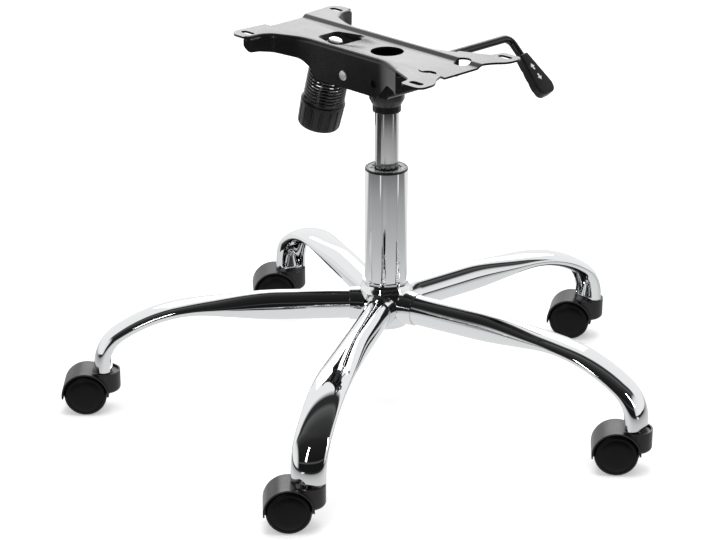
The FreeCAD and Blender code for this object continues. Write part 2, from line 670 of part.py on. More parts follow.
# Gas cylinder with its tapered top, and the release button in it.
node(turned("cylinder_body", [
    ("rod_radius + rod_running", "cylinder_bottom"),
    ("cylinder_radius - 1", "cylinder_bottom"),
    ("cylinder_radius", "cylinder_bottom + 1"),
    ("cylinder_radius", "taper_foot"),
    ("taper_top_radius", "cylinder_end"),
    ("valve_radius + valve_clearance", "cylinder_end"),
    ("valve_radius + valve_clearance", "cylinder_end - valve_depth - 6"),
    ("0", "cylinder_end - valve_depth - 6"),
    ("0", "cylinder_end - valve_depth - 10"),
    ("cylinder_bore", "cylinder_end - valve_depth - 10"),
    ("cylinder_bore", "cylinder_bottom + cylinder_plug"),
    ("rod_radius + rod_running", "cylinder_bottom + cylinder_plug")]), "gas_cylinder")
node(turned("button_body", [
    ("0", "cylinder_end - valve_depth"),
    ("valve_radius", "cylinder_end - valve_depth"),
    ("valve_radius", "button_top - 1"),
    ("valve_radius - 1.5", "button_top"),
    ("0", "button_top")]), "release_button")

# Taper socket under the tilt bracket, with the black dust collar below it.
node(turned("socket_body", [
    ("cylinder_radius", "taper_foot"),
    ("socket_neck_radius", "taper_foot"),
    ("socket_radius", "taper_foot + socket_cone_height"),
    ("socket_radius", "bracket_under + bracket_sheet"),
    ("socket_upper_radius", "bracket_under + bracket_sheet + 2"),
    ("socket_upper_radius", "socket_end"),
    ("taper_top_radius", "socket_end"),
    ("taper_top_radius", "cylinder_end")]), "taper_socket")
node(turned("dust_collar_body", [
    ("cylinder_radius + collar_gap", "collar_level"),
    ("socket_neck_radius - 0.8", "collar_level"),
    ("socket_neck_radius", "collar_level + 0.8"),
    ("socket_neck_radius", "taper_foot"),
    ("cylinder_radius + collar_gap", "taper_foot")]), "dust_collar")


def rounded_outline(corners):
    """A flat closed wire through (x, y, rounding) corners: straight runs and arcs."""
    count = len(corners)
    joints = []
    for k in range(count):
        before, here, after = corners[k - 1], corners[k], corners[(k + 1) % count]
        corner = Vector(here[0], here[1], 0)
        back = (Vector(before[0], before[1], 0) - corner).normalize()
        ahead = (Vector(after[0], after[1], 0) - corner).normalize()
        half = back.getAngle(ahead) / 2
        if here[2] == 0 or half > math.pi / 2 - 0.001:
            joints.append((corner, None, corner))
            continue
        run = here[2] / math.tan(half)
        middle = (back + ahead).normalize() * (here[2] / math.sin(half) - here[2])
        joints.append((corner + back * run, corner + middle, corner + ahead * run))
    edges = []
    for k in range(count):
        start, middle, end = joints[k]
        if middle is not None:
            edges.append(Part.Arc(start, middle, end).toShape())
        following = joints[(k + 1) % count][0]
        if (following - end).Length > 0.001:
            edges.append(Part.LineSegment(end, following).toShape())
    return Part.Wire(edges)


def mirrored(corners):
    """Corners of a right half, from front to rear, followed by the left half."""
    return corners + [(-x, y, rounding) for x, y, rounding in reversed(corners)]


def upright_plate(corners, half_width):
    """A side view of (y, z, rounding) corners, extruded across the seat."""
    face = Part.Face(rounded_outline(corners))
    solid = face.extrude(Vector(0, 0, 2 * half_width))
    solid.rotate(Vector(0, 0, 0), Vector(1, 1, 1), 120)
    solid.translate(Vector(-half_width, 0, 0))
    return solid


def bolt_place():
    """The tension bolt's frame: origin on its head, -Z down the leaning shank."""
    return Placement(Vector(0, -size("bolt_forward"), size("bolt_level")),
                     Rotation(X_AXIS, -size("bolt_tilt")))


def plate_outline():
    """The seat plate seen from above."""
    side = size("plate_half_width")
    front_x, rear_x = size("front_ear_half_width"), size("rear_ear_half_width")
    front_root, rear_root = -size("front_ear_root"), size("rear_ear_root")
    return mirrored([
        (side * 0.55, -size("front_edge"), 60),
        (front_x, -size("front_ear_tip"), 14),
        (front_x, front_root, 7),
        (side + 18, front_root + 2, 22),
        (side, front_root + 44, 70),
        (side, rear_root - 68, 60),
        (rear_x - 17, rear_root - 3, 12),
        (rear_x, rear_root, 6),
        (rear_x, size("rear_ear_tip"), 9),
        (rear_x - 24, size("rear_ear_tip"), 22),
        (side, size("rear_edge"), 40)])


def slot_tool(x, y):
    """One mounting slot, along Y."""
    half_run = (size("slot_length") - size("slot_width")) / 2
    radius = size("slot_width") / 2
    low = size("plate_level") - 20
    bar = Part.makeBox(2 * radius, 2 * half_run, 40, Vector(x - radius, y - half_run, low))
    ends = [Part.makeCylinder(radius, 40, Vector(x, y + shift, low))
            for shift in (-half_run, half_run)]
    return bar.fuse(ends)


def pressed_block(shift, inset, fold):
    """Solid below the plate's upper face, moved down and in, with its rim rounded."""
    top, rise, bend = size("plate_level") - shift, size("ear_rise"), size("tray_bend")
    inner, outer = size("fold_inner"), size("fold_outer")
    wide, deep = size("front_ear_half_width") + 5, 60
    long = size("3 * front_ear_tip")
    section = Part.Face(rounded_outline([
        (-wide, top + rise, 0), (-outer, top + rise, bend), (-inner, top, bend),
        (inner, top, bend), (outer, top + rise, bend), (wide, top + rise, 0),
        (wide, top - deep, 0), (-wide, top - deep, 0)]))
    section.rotate(Vector(0, 0, 0), X_AXIS, 90)
    section.translate(Vector(0, -long / 2, 0))
    outline = Part.Face(rounded_outline(plate_outline()))
    if inset:
        outline = outline.makeOffset2D(-inset)
    walls = outline.extrude(Vector(0, 0, 200))
    walls.translate(Vector(0, 0, top - 100))
    block = section.extrude(Vector(0, long, 0)).common(walls)
    return block.makeFillet(fold, rim_edges(block, top - 1)) if fold else block


def dimple_block(floor_half, deep, spare):
    """A four sided hopper in the bolt's frame: small floor, rounded corners, walls at 45 degrees."""
    wires = []
    for rise in (0, deep + spare):
        half, rounding = floor_half + rise, size("dimple_rounding") + rise / 2
        wire = rounded_outline([(-half, -half, rounding), (half, -half, rounding),
                                (half, half, rounding), (-half, half, rounding)])
        wire.translate(Vector(0, 0, rise - deep))
        wires.append(wire)
    return Part.makeLoft(wires, True, True)


def rim_edges(block, low):
    """Edges above a level at which a level or sloped face meets an upright one."""
    found = []
    for edge in block.Edges:
        if edge.valueAt((edge.FirstParameter + edge.LastParameter) / 2).z < low:
            continue
        upright = []
        for face in block.ancestorsOfType(edge, Part.Face):
            u_low, u_high, v_low, v_high = face.ParameterRange
            normal = face.normalAt((u_low + u_high) / 2, (v_low + v_high) / 2)
            upright.append(abs(normal.z) < 0.1)
        if any(upright) and not all(upright):
            found.append(edge)
    return found


def seat_plate_shape():
    """Pressed seat plate: low middle, four raised ears, rounded folds, deep side flanges,
    a dimple for the bolt, and holes."""
    top, sheet_wall, fold = size("plate_level"), size("sheet"), size("fold_radius")
    wide = size("front_ear_half_width") + 5
    shell = pressed_block(0, 0, fold).cut(pressed_block(sheet_wall, sheet_wall, fold - sheet_wall))
    ears = pressed_block(0, 0, 0).cut(pressed_block(sheet_wall, -5, 0))
    level = top - size("flange_drop")
    sides = upright_plate([
        (-size("flange_start"), top + 10, 0),
        (-size("flange_start"), top - size("flange_tip_drop"), 2),
        (-size("flange_start") + 8, top - size("flange_ear_drop"), 6),
        (-size("flange_front") - 20, top - size("flange_waist_drop"), 25),
        (-size("flange_front") - 5.5, top - size("flange_front_drop"), 8),
        (-size("flange_front"), level, 5),
        (size("flange_rear"), level, 3),
        (size("arch_notch_start"), top - size("arch_notch_drop") + 1.5, 8),
        (size("flange_end") - 5, top - size("arch_notch_drop"), 3),
        (size("flange_end"), top - size("arch_notch_drop") - 4, 1),
        (size("flange_end"), top + 10, 0)], wide)
    span = Part.makeBox(2 * wide, size("flange_start + flange_end"), 200,
                        Vector(-wide, -size("flange_start"), top - 100))
    plate = shell.common(sides).fuse(ears.cut(span))
    frame = bolt_place()
    head, floor_half = size("bolt_head_height"), size("dimple_half_width")
    bowl = dimple_block(floor_half + 1, head + sheet_wall, 0)
    hollow = dimple_block(floor_half, head, 12)
    bore = Part.makeCylinder(size("bolt_radius + bolt_hole_clearance"), 40, Vector(0, 0, -25))
    for tool in (bowl, hollow, bore):
        tool.Placement = frame
    long = size("3 * front_ear_tip")
    trim = Part.makeBox(2 * wide, long, 100, Vector(-wide, -long / 2, top - 100))
    plate = plate.fuse(bowl.common(trim)).cut([hollow, bore])
    tools = [slot_tool(side * size("slot_half_spacing"), y)
             for side in (-1, 1) for y in (-size("front_slot"), size("rear_slot"))]
    tools.append(Part.makeCylinder(size("big_hole_diameter / 2"), 40, Vector(0, 0, top - 20)))
    for side in (-1, 1):
        middle = Vector(side * size("small_hole_half_spacing"), size("small_hole_back"), top - 20)
        tools.append(Part.makeCylinder(size("small_hole_diameter / 2"), 40, middle))
    tools.append(Part.makeCylinder(
        size("pivot_diameter / 2"), 2 * wide,
        Vector(-wide, -size("pivot_forward"), size("pivot_level")), X_AXIS))
    tools.append(Part.makeCylinder(
        size("side_hole_diameter / 2"), wide,
        Vector(0, size("side_hole_back"), size("side_hole_level")), X_AXIS))
    tools.append(lever_slot(wide))
    return plate.cut(tools)


def lever_slot(wide):
    """The room that the lever rod needs in the far flange while the plate tilts."""
    radius = size("lever_radius + lever_slot_clearance")
    rise = size("(pivot_forward + lever_back) * sin(tilt_range)")
    start = Vector(-wide, size("lever_back"), size("lever_level"))
    low = Part.makeCylinder(radius, wide, start, X_AXIS)
    high = Part.makeCylinder(radius, wide, start + Vector(0, 0, rise), X_AXIS)
    bar = Part.makeBox(wide, 2 * radius, rise, start - Vector(0, radius, 0))
    return low.fuse([high, bar])


node(made("seat_plate_body", seat_plate_shape()), "seat_plate")


def along_bolt(down, forward):
    """Y and Z of a point given down the bolt's axis and forward across it."""
    point = bolt_place().multVec(Vector(0, -forward, -down))
    return point.y, point.z


def bracket_shape():
    """Folded channel: floor, rear wall, ramp and leaning tongue, with two side walls."""
    floor, wall = size("bracket_under"), size("bracket_sheet")
    half, inside = size("bracket_half_width"), size("bracket_inside")
    rear, front = size("bracket_rear"), -size("bracket_front")
    roof = size("plate_under - bracket_top_gap")
    reach, back = size("tongue_reach"), size("tongue_back")
    tip_low = along_bolt(size("tongue_bottom"), reach)
    root_low = along_bolt(size("tongue_bottom"), -back)
    tip_high = along_bolt(size("tongue_level"), reach)
    root_high = along_bolt(size("tongue_level"), -back)
    crest = (tip_high[0], min(tip_high[1] + size("tongue_front_height"), roof - 1))
    outer = upright_plate([
        (rear, floor, 5),
        (rear, floor + size("bracket_rear_height"), 3),
        (-size("pivot_forward"), roof, 30),
        (tip_low[0] + 18, roof, 4),
        (crest[0], crest[1], 2),
        (tip_low[0], tip_low[1], 0),
        (root_low[0], root_low[1], 4),
        (front, floor, 8)], half)
    inner = upright_plate([
        (rear - wall, floor + wall, 3),
        (rear - wall, roof + 40, 0),
        (tip_high[0] - 10, roof + 40, 0),
        (tip_high[0] - 10, tip_high[1] + 10 * math.tan(math.radians(size("bolt_tilt"))), 0),
        (root_high[0], root_high[1], 4),
        (front + wall / 2, floor + wall, 8)], inside)
    channel = outer.cut(inner)
    bolt_hole = Part.makeCylinder(size("bolt_radius + bolt_swing_clearance"), 40, Vector(0, 0, -40))
    bolt_hole.Placement = bolt_place()
    pivot = Part.makeCylinder(
        size("pivot_diameter / 2 + pivot_running"), 4 * half,
        Vector(-2 * half, -size("pivot_forward"), size("pivot_level")), X_AXIS)
    lever = Part.makeCylinder(
        size("bush_outer + bush_press"), 4 * half,
        Vector(-2 * half, size("lever_back"), size("lever_level")), X_AXIS)
    socket = Part.makeCylinder(size("socket_radius"), wall, Vector(0, 0, floor))
    return channel.cut([bolt_hole, pivot, lever, socket])


node(made("bracket_body", bracket_shape()), "tilt_bracket")

# Pivot rivet through plate and bracket, with a head on each side.
pivot = turned("pivot_body", [
    ("0", "-plate_half_width - pivot_head_height"),
    ("pivot_head_diameter / 2 - 0.8", "-plate_half_width - pivot_head_height"),
    ("pivot_head_diameter / 2", "-plate_half_width - pivot_head_height + 0.8"),
    ("pivot_head_diameter / 2", "-plate_half_width"),
    ("pivot_diameter / 2", "-plate_half_width"),
    ("pivot_diameter / 2", "plate_half_width"),
    ("pivot_head_diameter / 2", "plate_half_width"),
    ("pivot_head_diameter / 2", "plate_half_width + pivot_head_height - 0.8"),
    ("pivot_head_diameter / 2 - 0.8", "plate_half_width + pivot_head_height"),
    ("0", "plate_half_width + pivot_head_height")])
place(pivot, y="-pivot_forward", z="pivot_level", axis=Y_AXIS, angle="90")
node(pivot, "pivot_rivet")

# Tension bolt, spring, washer and knob share the leaning axis.
shank = turned("bolt_shank", [
    ("0", "-bolt_length"),
    ("bolt_radius - 1", "-bolt_length"),
    ("bolt_radius", "-bolt_length + 1"),
    ("bolt_radius", "-bolt_head_height + 1"),
    ("0", "-bolt_head_height + 1")])
hexagon = primitive("Prism", "bolt_hexagon", Circumradius="bolt_head_flats / sqrt(3)",
                    Height="bolt_head_height")
hexagon.Polygon = 6
place(hexagon, z="-bolt_head_height")
chamfer = primitive("Cone", "bolt_chamfer", Radius1="bolt_head_flats / 2 + bolt_head_height * 1.6",
                    Radius2="bolt_head_flats / 2 - 0.6", Height="bolt_head_height")
place(chamfer, z="-bolt_head_height")
crown = doc.addObject("Part::Common", "bolt_crown")
crown.Base = hexagon
crown.Tool = chamfer
bolt = fuse("bolt_body", [shank, crown])
place(bolt, y="-bolt_forward", z="bolt_level", axis=X_AXIS, angle="-bolt_tilt")
node(bolt, "tension_bolt")

coil = doc.addObject("Part::Helix", "spring_line")
bind(coil, Radius="spring_radius", Pitch="spring_pitch",
     Height="spring_foot - spring_top - spring_wire")
place(coil, z="-spring_foot + spring_wire / 2")
wire = doc.addObject("Part::Circle", "spring_wire_section")
bind(wire, Radius="spring_wire / 2")
place(wire, x="spring_radius", z="-spring_foot + spring_wire / 2", axis=X_AXIS, angle="90")
spring = doc.addObject("Part::Sweep", "spring_body")
spring.Sections = [wire]
spring.Spine = (coil, [])
spring.Solid = True
spring.Frenet = True
place(spring, y="-bolt_forward", z="bolt_level", axis=X_AXIS, angle="-bolt_tilt")
node(spring, "tension_spring")

washer = turned("washer_body", [
    ("bolt_radius + washer_running", "-knob_level"),
    ("spring_outer_diameter / 2", "-knob_level"),
    ("spring_outer_diameter / 2", "-washer_level"),
    ("bolt_radius + washer_running", "-washer_level")])
place(washer, y="-bolt_forward", z="bolt_level", axis=X_AXIS, angle="-bolt_tilt")
node(washer, "spring_washer")

knob_turning = turned("knob_turning", [
    ("0", "-knob_level - knob_height"),
    ("knob_foot_diameter / 2 - knob_edge", "-knob_level - knob_height"),
    ("knob_foot_diameter / 2 - knob_edge * 0.3", "-knob_level - knob_height + knob_edge * 0.3"),
    ("knob_foot_diameter / 2", "-knob_level - knob_height + knob_edge"),
    ("knob_top_diameter / 2", "-knob_level - 1"),
    ("knob_top_diameter / 2 - 1", "-knob_level"),
    ("bolt_radius + knob_running", "-knob_level"),
    ("bolt_radius + knob_running", "-bolt_length - knob_travel - 0.5"),
    ("0", "-bolt_length - knob_travel - 0.5")])
grooves = []
for k in range(int(size("knob_groove_count"))):
    groove = primitive("Cylinder", "knob_groove_%d" % (k + 1), Radius="knob_groove_radius",
                       Height="knob_height + 4")
    angle = "(360 * %d / knob_groove_count)" % k
    middle = "(knob_foot_diameter / 2 + 0.4)"
    place(groove, x="%s * cos(%s)" % (middle, angle), y="%s * sin(%s)" % (middle, angle),
          z="-knob_level - knob_height - 8")
    grooves.append(groove)
knob = cut("knob_body", knob_turning, fuse("knob_groove_group", grooves))
place(knob, y="-bolt_forward", z="bolt_level", axis=X_AXIS, angle="-bolt_tilt")
node(knob, "tension_knob")


# Lever: rod across the bracket, bent down behind the seat's edge, with a paddle.
def lever_frame():
    """Corner of the lever, direction of its arm, and the paddle's thickness direction."""
    corner = Vector(-size("lever_reach"), size("lever_back"), size("lever_level"))
    drop, lean = math.radians(size("lever_drop_angle")), math.radians(size("lever_out_angle"))
    arm = Vector(-math.sin(lean), math.cos(lean) * math.cos(drop), -math.cos(lean) * math.sin(drop))
    normal = arm.cross(X_AXIS).normalize()
    if normal.z < 0:
        normal = -normal
    return corner, arm, normal


def lever_rod_shape():
    """The rod with its bend, and the flattened tongue over the release button."""
    corner, arm, normal = lever_frame()
    radius, bend = size("lever_radius"), size("lever_bend_radius")
    half = X_AXIS.getAngle(arm) / 2
    run = bend / math.tan(half)
    start = Vector(size("bracket_half_width") - 0.4, corner.y, corner.z)
    into, out = corner + X_AXIS * run, corner + arm * run
    middle = corner + (X_AXIS + arm).normalize() * (bend / math.sin(half) - bend)
    end = corner + arm * size("lever_arm")
    path = Part.Wire([Part.LineSegment(start, into).toShape(), Part.Arc(into, middle, out).toShape(),
                      Part.LineSegment(out, end).toShape()])
    circle = Part.Wire(Part.Circle(start, X_AXIS, radius).toShape())
    rod = path.makePipeShell([circle], True, True)
    thick, wide = size("tongue_thickness"), size("tongue_width")
    tongue = Part.makeBox(wide, corner.y + size("tongue_overhang"), thick,
                          Vector(-wide / 2, -size("tongue_overhang"), corner.z - thick / 2))
    return rod.fuse(tongue)


def handle_shape():
    """Tapered paddle with a round end, finger scallops below and rounded edges."""
    corner, arm, normal = lever_frame()
    across = arm.cross(normal).normalize()
    length, thick = size("handle_length"), size("handle_thickness")
    narrow, broad = size("handle_top_width / 2"), size("handle_end_width / 2")
    face = Part.Face(rounded_outline([
        (-narrow, 0, 2), (narrow, 0, 2), (broad, length - broad * 0.8, broad * 0.7),
        (broad * 0.8, length, broad * 0.6), (-broad * 0.8, length, broad * 0.6),
        (-broad, length - broad * 0.8, broad * 0.7)]))
    paddle = face.extrude(Vector(0, 0, thick))
    paddle = paddle.makeFillet(1.6, [edge for edge in paddle.Edges
                                     if edge.BoundBox.ZLength < 0.001])
    scallop = size("handle_scallop")
    tools = [Part.makeCylinder(scallop, 60, Vector(-30, length * share, -scallop + 1.6), X_AXIS)
             for share in (0.34, 0.58, 0.82)]
    paddle = paddle.cut(tools)
    start = corner + arm * size("handle_start")
    matrix = FreeCAD.Matrix(across.x, arm.x, normal.x, start.x - normal.x * thick / 2,
                            across.y, arm.y, normal.y, start.y - normal.y * thick / 2,
                            across.z, arm.z, normal.z, start.z - normal.z * thick / 2, 0, 0, 0, 1)
    paddle.Placement = Placement(matrix)
    bore = Part.makeCylinder(size("lever_radius + handle_grip_clearance"),
                             size("lever_arm - handle_start") + 1, start - arm, arm)
    return paddle.cut(bore)


node(made("lever_rod_body", lever_rod_shape()), "lever_rod")
node(made("lever_handle_body", handle_shape()), "lever_handle")


def lever_bush_shape():
    """Two plastic bushes in the bracket's side walls."""
    bushes = []
    centre_y, centre_z = size("lever_back"), size("lever_level")
    outer, bore = size("bush_outer"), size("lever_radius + lever_running")
    for side in (-1, 1):
        start = Vector(side * size("bracket_half_width"), centre_y, centre_z)
        inward = X_AXIS * -side
        depth = size("bracket_sheet")
        head = size("bush_head")
        body = Part.makeCylinder(outer, depth, start, inward)
        collar = Part.makeCylinder(outer + 2, head, start + inward * depth, inward)
        hole = Part.makeCylinder(bore, depth + head, start, inward)
        bushes.append(body.fuse(collar).cut(hole))
    return Part.makeCompound(bushes)


node(made("lever_bush_body", lever_bush_shape()), "lever_bushes")


# Casters: socket in the leg, stem, hood with its web, axle and two wheels.
def hood_shape():
    """Hood in its own frame: stem on the Z axis, axle behind it along -X."""
    half, axle_x, axle_z = size("hood_half_width"), -size("trail"), size("wheel_radius")
    outer, cavity = size("hood_radius"), size("cavity_radius")
    web = size("web_thickness / 2")
    tip = math.radians(size("hood_tip_angle"))
    shell = Part.makeCylinder(outer, 2 * half, Vector(axle_x, -half, axle_z), Y_AXIS)
    reach = 2 * outer
    below = Part.makeBox(reach, 4 * half, reach, Vector(-reach, -2 * half, -reach))
    below.rotate(Vector(0, 0, 0), Y_AXIS, -math.degrees(tip))
    below.translate(Vector(axle_x, 0, axle_z))
    behind = Part.makeBox(reach, 4 * half, reach, Vector(axle_x, -2 * half, axle_z - reach))
    fender = shell.cut([below, behind])
    boss_low, boss_top = size("boss_bottom"), size("boss_top")
    radius = size("boss_radius")
    boss = Part.makeCylinder(radius, boss_top - boss_low, Vector(0, 0, boss_low))
    bridge = Part.makeBox(-axle_x, 2 * radius, boss_top - boss_low,
                          Vector(axle_x, -radius, boss_low))
    boss = boss.fuse(bridge).removeSplitter()
    low_edges = [edge for edge in boss.Edges
                 if edge.BoundBox.ZMax < boss_low + 0.01 and edge.BoundBox.XMax > 1]
    boss = boss.makeFillet(size("boss_edge"), low_edges)
    rim = Part.makeCylinder(radius, size("boss_rim_height") + 2, Vector(0, 0, boss_top - 2))
    body = fender.fuse([boss, rim])
    hollow = Part.makeCylinder(radius - size("boss_rim_wall"), 20, Vector(0, 0, boss_top))
    crown = Part.makeCylinder(outer, 2 * half, Vector(axle_x, -half, axle_z), Y_AXIS)
    cavities = [Part.makeCylinder(cavity, 2 * half, Vector(axle_x, start, axle_z), Y_AXIS)
                for start in (web, -web - 2 * half)]
    foot = Part.makeCylinder(cavity + 1, 2 * web, Vector(axle_x, -web, axle_z), Y_AXIS)
    under = Part.makeBox(2 * outer, 2 * web, outer,
                         Vector(axle_x - outer, -web,
                                axle_z - size("axle_radius") - 5 - outer))
    stem = Part.makeCylinder(size("stem_radius + stem_running"), size("stem_depth") + 0.5,
                             Vector(0, 0, boss_top - size("stem_depth") - 0.5))
    axle = Part.makeCylinder(size("axle_radius + axle_press"), 4 * half,
                             Vector(axle_x, -2 * half, axle_z), Y_AXIS)
    webbing = foot.cut(under)
    return body.cut(hollow.cut(crown)).cut(cavities).fuse(webbing).cut([stem, axle])


def caster_socket_shape():
    """Cone that takes the stem, on an oval base that closes the leg's end."""
    foot, gap = size("leg_end_height"), size("socket_base_gap")
    inset = size("leg_wall") + gap
    base = Part.Face(oval(Vector(0, 0, foot), Y_AXIS, X_AXIS,
                          size("end_half_width") - inset, size("end_half_depth") - inset))
    base = base.extrude(Vector(0, 0, size("socket_base_height")))
    cone = Part.makeCone(size("cone_foot_radius"), size("cone_top_radius"), size("cone_height"),
                         Vector(0, 0, foot))
    bore = Part.makeCylinder(size("stem_radius + stem_press"), 60, Vector(0, 0, foot - 20))
    return base.fuse(cone).cut(bore)


hood = hood_shape()
caster_socket = caster_socket_shape()
for k in range(1, int(size("leg_count")) + 1):
    azimuth = size("leg_start_angle") + 360 * (k - 1) / size("leg_count")
    heading = "caster_heading_%d" % k
    foot = Rotation(Z_AXIS, azimuth).multVec(X_AXIS * size("stem_radius_of_star"))
    here = {"x": "stem_radius_of_star * cos(leg_start_angle + 360 * %d / leg_count)" % (k - 1),
            "y": "stem_radius_of_star * sin(leg_start_angle + 360 * %d / leg_count)" % (k - 1)}
    node(made("caster_socket_body_%d" % k, caster_socket,
              Placement(foot, Rotation(Z_AXIS, azimuth))), "caster_socket_%d" % k)
    stem = turned("stem_body_%d" % k, [
        ("0", "boss_top - stem_depth"),
        ("stem_radius", "boss_top - stem_depth"),
        ("stem_radius", "boss_top + stem_collar_gap"),
        ("stem_collar_radius", "boss_top + stem_collar_gap"),
        ("stem_collar_radius", "leg_end_height - stem_collar_gap"),
        ("stem_radius", "leg_end_height - stem_collar_gap"),
        ("stem_radius", "leg_end_height + cone_height"),
        ("stem_radius - 1.2", "leg_end_height + cone_height + 1"),
        ("stem_radius - 1.2", "leg_end_height + cone_height + 2"),
        ("stem_radius", "leg_end_height + cone_height + 3.5"),
        ("stem_radius - 0.6", "leg_end_height + stem_ball_rise - 1.6"),
        ("stem_radius - 2.4", "leg_end_height + stem_ball_rise"),
        ("0", "leg_end_height + stem_ball_rise")])
    place(stem, **here)
    node(stem, "caster_stem_%d" % k)
    turn = Rotation(Z_AXIS, size(heading) + 180)
    node(made("hood_body_%d" % k, hood, Placement(foot, turn)), "caster_hood_%d" % k)
    axle = turned("axle_body_%d" % k, [
        ("0", "-wheel_inner - wheel_width + wheel_wall"),
        ("axle_radius", "-wheel_inner - wheel_width + wheel_wall"),
        ("axle_radius", "wheel_inner + wheel_width - wheel_wall"),
        ("0", "wheel_inner + wheel_width - wheel_wall")])
    centre = foot + turn.multVec(Vector(-size("trail"), 0, size("wheel_radius")))
    axle.Placement = Placement(centre, turn.multiply(Rotation(X_AXIS, -90)))
    node(axle, "caster_axle_%d" % k)
    for side, lay in (("left", -90), ("right", 90)):
        wheel = turned("wheel_%s_body_%d" % (side, k), [
            ("0", "wheel_width - wheel_wall + 0.3"),
            ("axle_radius + axle_running", "wheel_width - wheel_wall + 0.3"),
            ("axle_radius + axle_running", "0"),
            ("wheel_hub_radius", "0"),
            ("wheel_hub_radius", "wheel_width - wheel_wall"),
            ("wheel_radius - wheel_wall", "wheel_width - wheel_wall - 0.5"),
            ("wheel_radius - wheel_wall", "0"),
            ("wheel_radius - 0.8", "0"),
            ("wheel_radius", "0.8"),
            ("wheel_radius", "wheel_width - 3.6"),
            ("wheel_radius - 1", "wheel_width - 1.6"),
            ("wheel_radius - 2.6", "wheel_width - 0.4"),
            ("wheel_radius - 4.4", "wheel_width"),
            ("wheel_radius - 5", "wheel_width - 0.5"),
            ("wheel_radius - 5.6", "wheel_width"),
            ("wheel_radius / 2", "wheel_width + wheel_dome * 0.75"),
            ("0", "wheel_width + wheel_dome")])
        shift = Rotation(X_AXIS, lay).multVec(Vector(0, 0, size("wheel_inner")))
        wheel.Placement = Placement(centre + turn.multVec(shift),
                                    turn.multiply(Rotation(X_AXIS, lay)))
        node(wheel, "caster_wheel_%s_%d" % (side, k))

doc.recompute()
for item in doc.Objects:
    if "Invalid" in item.State or "Error" in item.State:
        raise RuntimeError("%s could not be built: %s" % (item.Name, item.State))
os.makedirs("parts", exist_ok=True)
for item in nodes:
    if item.Shape.isNull() or not item.Shape.isValid():
        raise RuntimeError("%s has no valid shape" % item.Label)
    item.Shape.exportStep("parts/%s.step" % item.Label)
print("%d sub-parts written" % len(nodes))
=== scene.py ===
# %% [markdown]
# # The star base of an office chair
# A chromed star on five twin casters carries a column. Inside the column stands the gas lift,
# and on top of it sit a folded bracket, a pressed seat plate, a spring with its knob and a
# lever. The solids of the part come in first and fix every place and size. What follows gives
# them their finish and replaces some with smoother surfaces of the same form.

import json
import math

import bmesh
import bpy
import numpy as np
from mathutils import Matrix, Vector


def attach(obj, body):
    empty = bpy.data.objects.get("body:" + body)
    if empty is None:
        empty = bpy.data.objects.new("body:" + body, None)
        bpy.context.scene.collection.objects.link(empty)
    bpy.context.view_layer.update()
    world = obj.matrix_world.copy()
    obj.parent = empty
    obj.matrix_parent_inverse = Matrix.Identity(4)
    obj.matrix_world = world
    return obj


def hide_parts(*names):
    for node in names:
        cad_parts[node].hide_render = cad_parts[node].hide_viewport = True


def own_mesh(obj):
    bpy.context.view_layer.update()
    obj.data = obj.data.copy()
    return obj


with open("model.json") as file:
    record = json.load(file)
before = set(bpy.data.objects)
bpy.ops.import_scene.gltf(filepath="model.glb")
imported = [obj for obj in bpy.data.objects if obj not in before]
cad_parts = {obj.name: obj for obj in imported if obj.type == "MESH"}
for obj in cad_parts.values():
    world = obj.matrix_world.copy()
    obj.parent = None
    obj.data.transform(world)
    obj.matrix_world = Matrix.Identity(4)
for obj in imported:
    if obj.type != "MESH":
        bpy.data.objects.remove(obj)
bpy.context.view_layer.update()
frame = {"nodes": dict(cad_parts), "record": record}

# %% [markdown]
# Everything below is written in millimetres, as on a drawing, and becomes metres only when a
# mesh is made. A piece is built upright at the origin and then turned and shifted as numbers,
# so that its object stays at the origin and patterns on Object coordinates stay in place.

# %% Helpers for meshes
MM = 0.001


def raw_mesh(name, points, faces):
    """A mesh from points in millimetres and a list of faces."""
    mesh = bpy.data.meshes.new(name)
    mesh.from_pydata((np.asarray(points, float) * MM).tolist(), [], [list(f) for f in faces])
    return mesh


def face_outwards(mesh):
    """Turn every face of a closed mesh outwards."""
    work = bmesh.new()
    work.from_mesh(mesh)
    bmesh.ops.recalc_face_normals(work, faces=work.faces)
    work.to_mesh(mesh)
    work.free()
    return mesh


def linked_object(name, mesh):
    """An object that shows a mesh, or holds a lamp or camera, in the scene."""
    thing = bpy.data.objects.new(name, mesh)
    bpy.context.scene.collection.objects.link(thing)
    return thing


def adopt(name, mesh, body, replaces=()):
    """Link a mesh as a piece: it rides on its body and may stand for nodes of the frame."""
    piece = linked_object(name, mesh)
    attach(piece, body)
    if replaces:
        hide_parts(*replaces)
    return piece


def new_object(name, points, faces, body, replaces=()):
    """A piece from points in millimetres and a list of faces, riding on a body."""
    mesh = raw_mesh(name, points, faces)
    mesh.validate()
    mesh.update()
    return adopt(name, mesh, body, replaces)


def grid_faces(rows, around):
    """Quads of a tube's grid of points, numbered row by row and closed all round."""
    row = np.arange(rows - 1)[:, None]
    column = np.arange(around)[None, :]
    after = (column + 1) % around
    quads = np.stack([row * around + column, row * around + after,
                      (row + 1) * around + after, (row + 1) * around + column], axis=-1)
    return quads.reshape(-1, 4)


def prism_sides(count):
    """Quads between an outline of count points and its copy, which is numbered after it."""
    return [(k, (k + 1) % count, (k + 1) % count + count, k + count) for k in range(count)]


def soften(piece, angle=32):
    """Smooth shading that keeps edges sharper than the angle."""
    piece.data.shade_smooth()
    piece.data.set_sharp_from_angle(angle=math.radians(angle))
    return piece


def turn_about(points, axis, degrees):
    """Points turned about a line through the origin."""
    turn = np.array(Matrix.Rotation(math.radians(degrees), 3, Vector(axis)))
    return np.asarray(points, float) @ turn.T


